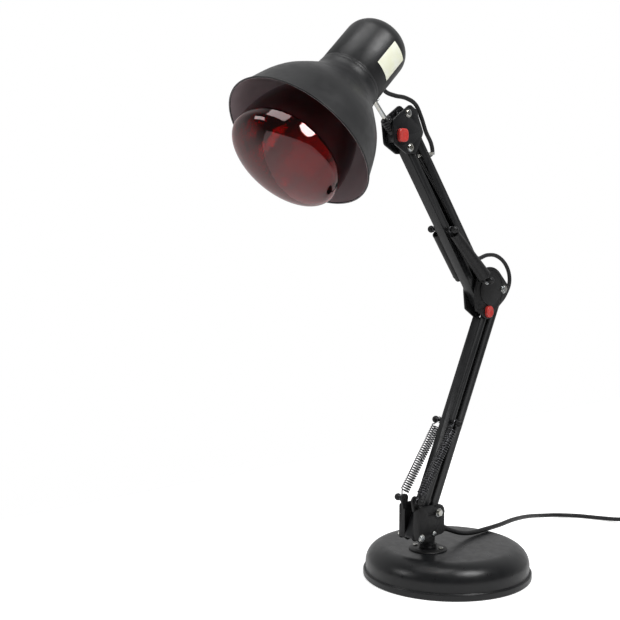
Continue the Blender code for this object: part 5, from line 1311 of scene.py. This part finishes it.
class HEATLAMP_OT_shade(bpy.types.Operator):
    """Models the bell shade with its rolled rim, the cover behind it, its small screw and the blank label"""

    bl_idname = "heatlamp.shade"
    bl_label = "Shade and cover"

    def execute(self, context):
        self.bell()
        self.cover()
        self.label()
        self.small_screw()
        return {"FINISHED"}

    def bell(self):
        low, high = reach("shade", HEAD)
        rim, depth = high.x, -low.z
        neck = SHADE_NECK
        side = [(neck + (rim - neck) * across, -depth * down) for down, across in SHADE_SHARES]
        line = [Vector((r, 0.0, z)) for r, z in [(neck, -0.0012), *side]]
        smooth = [(p.x, p.z) for p in route(line, 0.0028)]
        outer = [(0.0225, 0.0), (neck - 0.0010, 0.0), (neck - 0.0003, -0.0003), *smooth]
        inner = list(reversed(inset(outer, ALUMINIUM)))
        bell = turned([*outer, *inner, outer[0]], HEAD)
        item = piece("shade_bell", bell, "aluminium", "head", ("shade",), 40.0)
        item.data.materials.append(finish_of("lining"))
        inverse = HEAD.inverted()
        for face in item.data.polygons:
            middle = inverse @ face.center
            way = inverse.to_3x3() @ face.normal
            if way.x * middle.x + way.y * middle.y < 0.0 and middle.z < LINING_FROM or way.z < -0.9:
                face.material_index = 1
        bead = [(rim - 0.0004 + BEAD_WIRE * cos(a), -depth + 0.0006 + BEAD_WIRE * sin(a))
                for a in (2 * pi * i / BEAD_STEPS for i in range(BEAD_STEPS + 1))]
        piece("rim_bead", turned(bead, HEAD, 128), "aluminium", "head")

    def cover(self):
        low, high = reach("lamp_cover", HEAD)
        radius = (high.x - low.x) / 2
        dome = quarter((DOME_MIDDLE, high.z - DOME_RISE), radius - DOME_MIDDLE, DOME_RISE, 20)
        skirt = [*((radius - step, place) for step, place in SKIRT), (radius, low.z)]
        outer = [(0.0, high.z), *dome, *skirt]
        shell = turned([*outer, *reversed(inset(outer, ALUMINIUM))], HEAD)
        piece("cover_shell", shell, "aluminium", "head", ("lamp_cover",), 40.0)
        grommet = [(GROMMET_RADIUS + GROMMET_WIRE * cos(a), radius - TILT.x + GROMMET_WIRE * sin(a))
                   for a in (2 * pi * i / GROMMET_STEPS for i in range(GROMMET_STEPS + 1))]
        way = HEAD @ Matrix.Translation((0.0, 0.0, GROMMET_PLACE)) @ Matrix.Rotation(-pi / 2, 4, "X")
        piece("lead_grommet", turned(grommet, way, 40), "jacket", "head")

    def label(self):
        """A blank label that follows the cover's side."""
        low, high = reach("lamp_cover", HEAD)
        radius = (high.x - low.x) / 2
        half_u, half_turn = lamp().sizes.label_length / 2, lamp().sizes.label_width / 2 / radius
        shape = bmesh.new()
        bmesh.ops.create_grid(shape, x_segments=LABEL_STEPS, y_segments=LABEL_STEPS, size=1.0)
        for dot in shape.verts:
            a = LABEL_TURN + dot.co.x * half_turn
            u = LABEL_MIDDLE + dot.co.y * half_u
            dot.co = ((radius + LABEL_GAP) * cos(a), (radius + LABEL_GAP) * sin(a), u)
        bmesh.ops.recalc_face_normals(shape, faces=shape.faces)
        if shape.faces[:][0].normal.dot(shape.faces[:][0].calc_center_median()) < 0:
            bmesh.ops.reverse_faces(shape, faces=shape.faces)
        bmesh.ops.solidify(shape, geom=shape.faces[:] + shape.edges[:] + shape.verts[:], thickness=PAPER)
        shape.transform(HEAD)
        piece("blank_label", shape, "paper", "head")

    def small_screw(self):
        matrix = HEAD @ Matrix.Translation((0.0, 0.0, 0.0080)) @ Matrix.Rotation(radians(62.0), 4, "Z")
        matrix = matrix @ Matrix.Rotation(pi / 2, 4, "Y")
        piece("cover_fixing", screw(0.0024, 0.0012, "cover_screw", matrix, 20), "zinc", "head", ("cover_screw",))


BULB_RADIUS = 0.0625
BULB_WIDEST = -0.122
BULB_FACE = 0.021
BULB_NECK_RADIUS = 0.0190
BULB_NECK_FOOT = -0.0145
GLASS = 0.0009
SIDE_STEPS = 28
CAP_END = 0.0138                    # radius of the glass in its cap
MIRROR_SKIN, MIRROR_CORE = 0.0003, 0.0006       # from the glass's inner side
STEM_TOP, STEM_FOOT = -0.0420, -0.0060
LOOP = 0.0120                       # radius of the filament's ring
LOOP_DROP = 0.0120                  # of the ring before the stem's top
SUPPORTS = 9
SUPPORT_WIRE = 0.0002
COIL_TURNS = 110
COIL_STEPS = 8
COIL_RADIUS = 0.0007
COIL_WIRE = 0.00013
COIL_SHARE = 0.9                    # of a whole ring
HOLDER_RADIUS = 0.0195
HOLDER_FLANGE = 0.0022
HOLDER_BORE = 0.0147
HOLDER_FLOOR = 0.0100
THREADS = 7
THREAD_RADIUS = 0.01295
THREAD_DEPTH = 0.00035
THREAD_ENDS = (0.0050, 0.0040)      # plain parts under and over the thread


class HEATLAMP_OT_bulb(bpy.types.Operator):
    """Models the ruby bulb with its mirror, filament and cap, and the ceramic holder"""

    bl_idname = "heatlamp.bulb"
    bl_label = "Bulb"

    def execute(self, context):
        self.envelope()
        self.filament()
        self.holder()
        return {"FINISHED"}

    def side(self, share):
        """The envelope's radius and u at a share of the way from its widest ring back to its neck."""
        ease = cos(pi / 2 * share ** 1.25)
        return (BULB_NECK_RADIUS + (BULB_RADIUS - BULB_NECK_RADIUS) * ease,
                BULB_WIDEST + (BULB_NECK_FOOT - BULB_WIDEST) * share)

    def envelope(self):
        face = [(r, 2 * BULB_WIDEST - u) for r, u in quarter((0.0, BULB_WIDEST), BULB_RADIUS, BULB_FACE, SIDE_STEPS)]
        back = [self.side(i / SIDE_STEPS) for i in range(1, SIDE_STEPS + 1)]
        outer = [*face, *back, (CAP_END, -0.0020), (CAP_END, 0.0055)]
        inner = [(r, -u) for r, u in inset([(r, -u) for r, u in outer], GLASS)]
        glass = turned([*outer, *reversed(inner)], HEAD)
        piece("ruby_envelope", glass, "ruby", "head", ("bulb_glass",), 50.0)
        skin = [(r - GLASS - MIRROR_SKIN, u) for r, u in back[1:]]
        core = [(r - GLASS - MIRROR_CORE, u) for r, u in back[1:]]
        piece("bulb_mirror", turned([*skin, *reversed(core), skin[0]], HEAD), "mirror", "head")

    def filament(self):
        """A glass stem, the supports and the coiled filament on them."""
        foot, top = STEM_FOOT, STEM_TOP
        stem = eased([(0.0, top), (0.0030, top), (0.0034, top + 0.0060), (0.0048, foot - 0.0080), (0.0095, foot),
                      (0.0, foot)], 0.0015, 3)
        piece("bulb_stem", turned(stem, HEAD, 32), "ruby", "head")
        wires = []
        for i in range(SUPPORTS):
            a = 2 * pi * i / SUPPORTS
            bends = ((0.0020, top + 0.0020), (LOOP * 0.6, top - 0.0060), (LOOP, top - LOOP_DROP))
            wires.append(tube([HEAD @ Vector((r * cos(a), r * sin(a), z)) for r, z in bends], SUPPORT_WIRE, 4))
        piece("filament_supports", gathered(*wires), "zinc", "head")
        ring, steps = [], COIL_TURNS * COIL_STEPS
        for i in range(steps + 1):
            a = 2 * pi * COIL_SHARE * i / steps
            b = 2 * pi * i / COIL_STEPS
            r = LOOP + COIL_RADIUS * cos(b)
            ring.append(HEAD @ Vector((r * cos(a), r * sin(a), top - LOOP_DROP + COIL_RADIUS * sin(b))))
        piece("filament", tube(ring, COIL_WIRE, 4), "zinc", "head")

    def holder(self):
        low, high = reach("lamp_holder", HEAD)
        wide = (high.x - low.x) / 2
        profile = [(0.0, high.z), (HOLDER_RADIUS, high.z), (HOLDER_RADIUS, low.z + HOLDER_FLANGE),
                   (wide, low.z + HOLDER_FLANGE), (wide, low.z), (HOLDER_BORE, low.z),
                   (HOLDER_BORE, high.z - HOLDER_FLOOR), (0.0, high.z - HOLDER_FLOOR)]
        piece("ceramic_holder", turned(eased(profile, 0.0008, 4), HEAD, 64), "ceramic", "head", ("lamp_holder",))
        low, high = reach("bulb_cap", HEAD)
        under, over = THREAD_ENDS
        run = (high.z - over) - (low.z + under)
        thread = [(THREAD_RADIUS + THREAD_DEPTH * cos(2 * pi * i / 8), high.z - over - run * i / (THREADS * 8))
                  for i in range(THREADS * 8 + 1)]
        profile = [(0.0, high.z), (0.0040, high.z), (0.0052, high.z - 0.0012), (0.0090, high.z - 0.0026), *thread,
                   (0.0136, low.z + 0.0045), (0.0136, low.z), (0.0, low.z)]
        piece("screw_cap", turned(profile, HEAD, 48), "brass", "head", ("bulb_cap",))


# Cords

LEAD_STEP = 0.0030
CORD_STEP = 0.0060
TIE_TURNS = 3
TIE_STEPS = 24
TIE_HALF = (0.0036, 0.0150)         # half sizes of its loop
TIE_PITCH = 0.0011
TIE_WIRE = 0.0005
SHELL_GAP = 0.0002                  # half the switch's parting line
SHELL_ROUND = 0.0016
CORE_STEP = 0.0010                  # of the core inside the shells' ends
FRAME_MARGIN = 0.0036               # of the rocker's frame over the rocker
PITCH = 0.0070                      # from one turn of the coiled cord to the next
TURNS = 2.75
CLIMB = 0.5                         # of a turn, from the lower layer to the upper
TURN_STEPS = 32
COIL_MIDDLE_RADIUS = 0.0335
LINK = 0.0600                       # from the switch to the coil
DROP = 0.0230                       # the run in which the cord sinks to the floor
TAIL = 0.0400
PLUG_HEIGHT = 0.0130                # of its axis
PLUG_LONG, PLUG_WIDE = 0.0360, 0.0130
PLUG_FOOT = 0.0060                  # radius where the grip starts
PLUG_RINGS = 4
PIN_RADIUS = 0.0020
PIN_LONG = 0.0190
PIN_STEP = 0.0095                   # of a pin from the plug's axis


class HEATLAMP_OT_lead(bpy.types.Operator):
    """Models the lead in the arms, a piece across each joint, and the tie on its folded loop"""

    bl_idname = "heatlamp.lead"
    bl_label = "Lead"

    def execute(self, context):
        radius = lamp().sizes.lead / 2
        line = route(LEAD_ROUTE, LEAD_STEP)
        marks = [Vector(LEAD_ROUTE[i]) for i in LEAD_CUTS]
        cuts = [min(range(len(line)), key=lambda k: (line[k] - mark).length) for mark in marks]
        for i, (first, last) in enumerate(zip(cuts, cuts[1:])):
            stretch = line[first:last + 1]
            stand = ("lead",) if i == 0 else ()
            item = piece(f"lead_{i + 1}", tube(stretch, radius, 16), "jacket", None, stand, 60.0)
            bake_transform(item)
        self.tie()
        return {"FINISHED"}

    def tie(self):
        """A bright wire tie round the folded loop."""
        place = (Vector(LEAD_ROUTE[8]) + Vector(LEAD_ROUTE[12])) / 2
        way = (Vector(LEAD_ROUTE[8]) - Vector(LEAD_ROUTE[12])).normalized()
        loops = []
        for turn in range(TIE_TURNS):
            loop = []
            for i in range(TIE_STEPS + 1):
                a = 2 * pi * i / TIE_STEPS
                side = Vector((1.0, 0.0, 0.0)) * TIE_HALF[0] * cos(a) + way * TIE_HALF[1] * sin(a)
                loop.append(place + side + Vector((0.0, way.z, -way.y)) * (turn - 1) * TIE_PITCH)
            loops.append(tube(loop, TIE_WIRE, 8))
        piece("lead_tie", gathered(*loops), "zinc", "upper_rear")


class HEATLAMP_OT_mains_cord(bpy.types.Operator):
    """Models the mains cord, its switch, the coiled rest and the plug"""

    bl_idname = "heatlamp.mains_cord"
    bl_label = "Mains cord"

    def execute(self, context):
        radius = lamp().sizes.cord / 2
        switch = self.switch()
        line = route(CORD_ROUTE, CORD_STEP)
        cord = piece("mains_lead", tube(line, radius, 20), "jacket", None, ("mains_cord",), 60.0)
        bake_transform(cord)
        rest = self.coil(radius)
        plug = self.plug(rest[-1], (rest[-1] - rest[-2]).normalized())
        coil = piece("cord_rest", tube(rest, radius, 16), "jacket", "base", ("cord_link", "cord_coil"), 60.0)
        return {"FINISHED"}

    def switch(self):
        """The housing: two shells with a parting line, a core between them and a frame round the rocker."""
        low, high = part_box("cord_switch_housing")
        middle, half = (low + high) / 2, (high - low) / 2
        shells = []
        for foot, top in ((low.z, middle.z - SHELL_GAP), (middle.z + SHELL_GAP, high.z)):
            outline = superellipse((middle.y, middle.x), 2 * half.y, 2 * half.x, 7.0, 72)
            shape = bmesh.new()
            face = shape.faces.new([shape.verts.new((x, y, foot)) for y, x in outline])
            drawn(shape, face, top - foot)
            settle(shape)
            shells.append(soften(shape, SHELL_ROUND, 4))
        core = slab(superellipse((middle.y, middle.z), 2 * half.y - 0.0016, half.z, 6.0), low.x + CORE_STEP,
                    high.x - CORE_STEP)
        low_r, high_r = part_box("cord_switch_rocker")
        rim = superellipse(((low_r.y + high_r.y) / 2, (low_r.x + high_r.x) / 2), high_r.y - low_r.y + FRAME_MARGIN,
                           high_r.x - low_r.x + FRAME_MARGIN, 6.0)
        frame_ring = bmesh.new()
        face = frame_ring.faces.new([frame_ring.verts.new((x, y, high.z - 0.0006)) for y, x in rim])
        face = drawn(frame_ring, face, 0.0012)
        face = drawn(frame_ring, face, 0.0, 0.90)
        drawn(frame_ring, face, -0.0010)
        settle(frame_ring)
        housing = piece("switch_shell", gathered(*shells, core, frame_ring), "plastic", "base",
                        ("cord_switch_housing",))
        piece("switch_rocker", copied("cord_switch_rocker", 0.0004, 3), "plastic", "rocker", ("cord_switch_rocker",))
        return housing

    def coil(self, radius):
        """The link from the switch to the floor, two layers of turns and the tail to the plug."""
        outer = COIL_MIDDLE_RADIUS + PITCH * TURNS / 2
        inner = outer - PITCH * TURNS
        start = Vector((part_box("cord_switch_housing")[1].x + 0.0003, CORD_ROUTE[-1][1], CORD_ROUTE[-1][2]))
        centre = Vector((start.x + LINK, start.y - outer, 0.0))
        line = [start]
        for share in (0.1, 0.2, 0.3, 0.4, 0.5, 0.6, 0.7, 0.8, 0.9, 1.0):
            sunk = (1.0 - cos(pi * max(0.0, share - 0.1) / 0.9)) / 2
            line.append(Vector((start.x + DROP * share, start.y, start.z + (radius - start.z) * sunk)))
        line += [Vector((start.x + DROP + (LINK - DROP) * share, start.y, radius)) for share in (0.2, 0.4, 0.6, 0.8)]
        count = round(TURNS * TURN_STEPS)
        a = pi / 2
        for i in range(count + 1):
            share = i / count
            a = pi / 2 - 2 * pi * TURNS * share
            size = outer + (inner - outer) * share
            line.append(centre + Vector((size * cos(a), size * sin(a), radius)))
        lift = round(CLIMB * TURN_STEPS)
        for i in range(1, lift + 1):
            b = a - 2 * pi * CLIMB * i / lift
            rise = PITCH * (1.0 - cos(pi * i / lift)) / 2
            line.append(centre + Vector((inner * cos(b), inner * sin(b), radius + rise)))
        a -= 2 * pi * CLIMB
        for i in range(1, count + 1):
            share = i / count
            b = a - 2 * pi * TURNS * share
            size = inner + (outer - inner) * share
            line.append(centre + Vector((size * cos(b), size * sin(b), radius + PITCH)))
        a -= 2 * pi * TURNS
        way = Vector((sin(a), -cos(a), 0.0))
        end = line[-1]
        rise = Vector((0.0, 0.0, PLUG_HEIGHT - end.z))
        line += [end + way * (TAIL * share) + rise * (share ** 2 * (3 - 2 * share))
                 for share in (0.125, 0.25, 0.375, 0.5, 0.625, 0.75, 0.875, 1.0)]
        return line

    def plug(self, place, way):
        """A round moulded plug with a grip, and its two pins."""
        matrix = Matrix.Translation(place + way * 0.0003) @ way.to_track_quat("Z", "Y").to_matrix().to_4x4()
        long, wide = PLUG_LONG, PLUG_WIDE
        profile = [(0.0, 0.0), (0.0040, 0.0), (PLUG_FOOT, 0.0006)]
        for i in range(PLUG_RINGS):
            z = 0.0018 + 0.0022 * i
            skin = PLUG_FOOT + 0.0006 * i
            profile += [(skin, z), (skin - 0.0007, z + 0.0005), (skin - 0.0007, z + 0.0011), (skin, z + 0.0016)]
        profile += [(0.0098, 0.0132), (wide - 0.0004, 0.0180), (wide, 0.0210), (wide, long - 0.0030),
                    (wide - 0.0008, long - 0.0008), (wide - 0.0030, long), (0.0, long)]
        body = piece("mains_plug", turned(eased(profile, 0.0006, 3), matrix, 64), "plastic", "base", ("plug",))
        tip = [(PIN_RADIUS, long + 0.0160), (0.0016, long + 0.0182), (0.0008, long + PIN_LONG),
               (0.0, long + PIN_LONG)]
        pin = [(0.0, long - 0.0010), (PIN_RADIUS, long - 0.0010), *tip]
        pins = [turned(pin, matrix @ Matrix.Translation((PIN_STEP * side, 0.0, 0.0)), 28) for side in (-1.0, 1.0)]
        return [body, piece("plug_pins", gathered(*pins), "pin", "base")]


# Nodes that keep their own shape

KEPT = {"post_socket": "zinc", "base_weight": "iron"}


class HEATLAMP_OT_kept_nodes(bpy.types.Operator):
    """Gives the nodes that keep their own shape their finish"""

    bl_idname = "heatlamp.kept_nodes"
    bl_label = "Kept nodes"

    def execute(self, context):
        for node, finish in KEPT.items():
            for place in frame["nodes"][node].material_slots:
                place.material = finish_of(finish)
        return {"FINISHED"}


# Stage

# The three lights: a name, a place, a goal and a width
LIGHTS = (
    ("key", (0.0, -0.55, 1.9), (0.0, -0.05, 0.2), 0.9),
    ("side", (1.0, -0.05, 1.45), (0.0, -0.05, 0.45), 0.5),
    ("front", (-0.7, -1.5, 0.9), (0.0, -0.2, 0.45), 0.5),
)
SENSOR = 36.0                       # millimetres
FARTHEST = 60.0                     # that the camera sees
TABLE_MIDDLE = 0.4                  # y of the table's middle
GLOSS_SHARE = 0.12                  # of the table's glow, as gloss shows it
LOOKS = ("Is Camera Ray", "Is Glossy Ray", "Is Transmission Ray")


class HEATLAMP_OT_stage(bpy.types.Operator):
    """Sets the camera, the pale table, the white background and the lights"""

    bl_idname = "heatlamp.stage"
    bl_label = "Stage"

    def execute(self, context):
        settings = lamp().stage
        scene = context.scene
        camera = bpy.data.objects.new("camera", bpy.data.cameras.new("camera"))
        camera.location = settings.camera_place
        camera.rotation_euler = settings.camera_turn
        camera.data.lens = settings.lens
        camera.data.sensor_width = SENSOR
        camera.data.clip_end = FARTHEST
        scene.collection.objects.link(camera)
        scene.camera = camera
        self.floor(scene, settings)
        self.background(scene, settings)
        for (name, place, goal, size), power in zip(LIGHTS, (settings.key, settings.side, settings.front)):
            self.light(scene, name, place, goal, size, power)
        scene.view_settings.view_transform = "Standard"
        return {"FINISHED"}

    def light(self, scene, name, place, goal, size, power):
        """A square soft light that looks at a goal."""
        lamp_data = bpy.data.lights.new(name, "AREA")
        lamp_data.size = size
        lamp_data.energy = power
        item = bpy.data.objects.new(name, lamp_data)
        way = Vector(goal) - Vector(place)
        item.matrix_world = Matrix.Translation(place) @ way.to_track_quat("-Z", "Y").to_matrix().to_4x4()
        scene.collection.objects.link(item)

    def floor(self, scene, settings):
        """A pale table that keeps the lamp's shadow and melts into the background."""
        shape = bmesh.new()
        bmesh.ops.create_grid(shape, x_segments=1, y_segments=1, size=0.5)
        shape.transform(Matrix.Translation((settings.table_edge + settings.table[0] / 2, TABLE_MIDDLE, 0.0))
                        @ Matrix.Diagonal((*settings.table, 1.0, 1.0)))
        mesh = bpy.data.meshes.new("floor")
        shape.to_mesh(mesh)
        shape.free()
        finish = bpy.data.materials.new("pale_floor")
        finish.use_nodes = True
        tree = finish.node_tree
        shader = tree.nodes["Principled BSDF"]
        shader.inputs["Base Color"].default_value = (0.86, 0.86, 0.86, 1.0)
        shader.inputs["Roughness"].default_value = 0.85
        shader.inputs["Specular IOR Level"].default_value = 0.1
        glow = tree.nodes.new("ShaderNodeEmission")
        both = tree.nodes.new("ShaderNodeAddShader")
        path = tree.nodes.new("ShaderNodeLightPath")
        weighed = None
        for name, weight in zip(LOOKS, (settings.table_glow, GLOSS_SHARE, settings.table_glow)):
            share = tree.nodes.new("ShaderNodeMath")
            share.operation = "MULTIPLY_ADD"
            share.inputs[1].default_value = weight
            tree.links.new(path.outputs[name], share.inputs[0])
            if weighed:
                tree.links.new(weighed, share.inputs[2])
            else:
                share.inputs[2].default_value = 0.0
            weighed = share.outputs["Value"]
        tree.links.new(weighed, glow.inputs["Strength"])
        tree.links.new(shader.outputs["BSDF"], both.inputs[0])
        tree.links.new(glow.outputs["Emission"], both.inputs[1])
        tree.links.new(both.outputs["Shader"], tree.nodes["Material Output"].inputs["Surface"])
        mesh.materials.append(finish)
        item = bpy.data.objects.new("floor", mesh)
        scene.collection.objects.link(item)

    def seen(self, tree):
        """1 where the camera, a reflection or a refraction looks."""
        path = tree.nodes.new("ShaderNodeLightPath")
        total = None
        for name in LOOKS:
            if total is None:
                total = path.outputs[name]
                continue
            both = tree.nodes.new("ShaderNodeMath")
            both.operation = "MAXIMUM"
            tree.links.new(total, both.inputs[0])
            tree.links.new(path.outputs[name], both.inputs[1])
            total = both.outputs["Value"]
        return total

    def backdrop(self, tree, settings):
        """The white's strength: 1 for the camera; for gloss less, and least in the room behind the camera."""
        place = tree.nodes.new("ShaderNodeTexCoord")
        facing = tree.nodes.new("ShaderNodeVectorMath")
        facing.operation = "DOT_PRODUCT"
        tree.links.new(place.outputs["Generated"], facing.inputs[0])
        facing.inputs[1].default_value = Euler(settings.camera_turn).to_matrix() @ Vector((0.0, 0.0, -1.0))
        fall = ranged(tree, facing.outputs["Value"], settings.room, settings.behind, -0.1, 0.4)
        path = tree.nodes.new("ShaderNodeLightPath")
        both = tree.nodes.new("ShaderNodeMath")
        both.operation = "MAXIMUM"
        tree.links.new(path.outputs["Is Camera Ray"], both.inputs[0])
        tree.links.new(fall, both.inputs[1])
        return both.outputs["Value"]

    def background(self, scene, settings):
        """White where the camera, a reflection or a refraction looks, and an even light elsewhere."""
        world = bpy.data.worlds.new("studio")
        world.use_nodes = True
        tree = world.node_tree
        sky = tree.nodes["Background"]
        sky.inputs["Color"].default_value = (1.0, 1.0, 1.0, 1.0)
        sky.inputs["Strength"].default_value = settings.sky
        white = tree.nodes.new("ShaderNodeBackground")
        white.inputs["Color"].default_value = (1.0, 1.0, 1.0, 1.0)
        tree.links.new(self.backdrop(tree, settings), white.inputs["Strength"])
        pick = tree.nodes.new("ShaderNodeMixShader")
        tree.links.new(self.seen(tree), pick.inputs["Fac"])
        tree.links.new(sky.outputs["Background"], pick.inputs[1])
        tree.links.new(white.outputs["Background"], pick.inputs[2])
        tree.links.new(pick.outputs["Shader"], tree.nodes["World Output"].inputs["Surface"])
        scene.world = world


OPERATORS = (
    HEATLAMP_OT_stage, HEATLAMP_OT_mains_cord, HEATLAMP_OT_lead, HEATLAMP_OT_base, HEATLAMP_OT_post,
    HEATLAMP_OT_bracket, HEATLAMP_OT_arms, HEATLAMP_OT_studs, HEATLAMP_OT_springs, HEATLAMP_OT_elbow,
    HEATLAMP_OT_head_bracket, HEATLAMP_OT_shade, HEATLAMP_OT_bulb, HEATLAMP_OT_fasteners, HEATLAMP_OT_kept_nodes,
)


class HEATLAMP_PT_panel(bpy.types.Panel):
    """The lamp's settings and operators in the sidebar"""

    bl_idname = "HEATLAMP_PT_panel"
    bl_label = "Heat Lamp"
    bl_space_type = "VIEW_3D"
    bl_region_type = "UI"
    bl_category = "Heat Lamp"

    def draw(self, context):
        settings = context.scene.heat_lamp
        for title, group in (("Colours", settings.colours), ("Sizes", settings.sizes), ("Stage", settings.stage)):
            box = self.layout.box()
            box.label(text=title)
            for name in group.__annotations__:
                box.prop(group, name)
        for operator in OPERATORS:
            self.layout.operator(operator.bl_idname)


CLASSES = (LampColours, LampSizes, LampStage, HeatLamp, *OPERATORS, HEATLAMP_PT_panel)


def register():
    for item in CLASSES:
        bpy.utils.register_class(item)
    bpy.types.Scene.heat_lamp = PointerProperty(type=HeatLamp)


def unregister():
    del bpy.types.Scene.heat_lamp
    for item in reversed(CLASSES):
        bpy.utils.unregister_class(item)


def main():
    """Builds everything in order."""
    register()
    for operator in OPERATORS:
        group, name = operator.bl_idname.split(".")
        getattr(getattr(bpy.ops, group), name)()


if __name__ == "__main__":
    main()
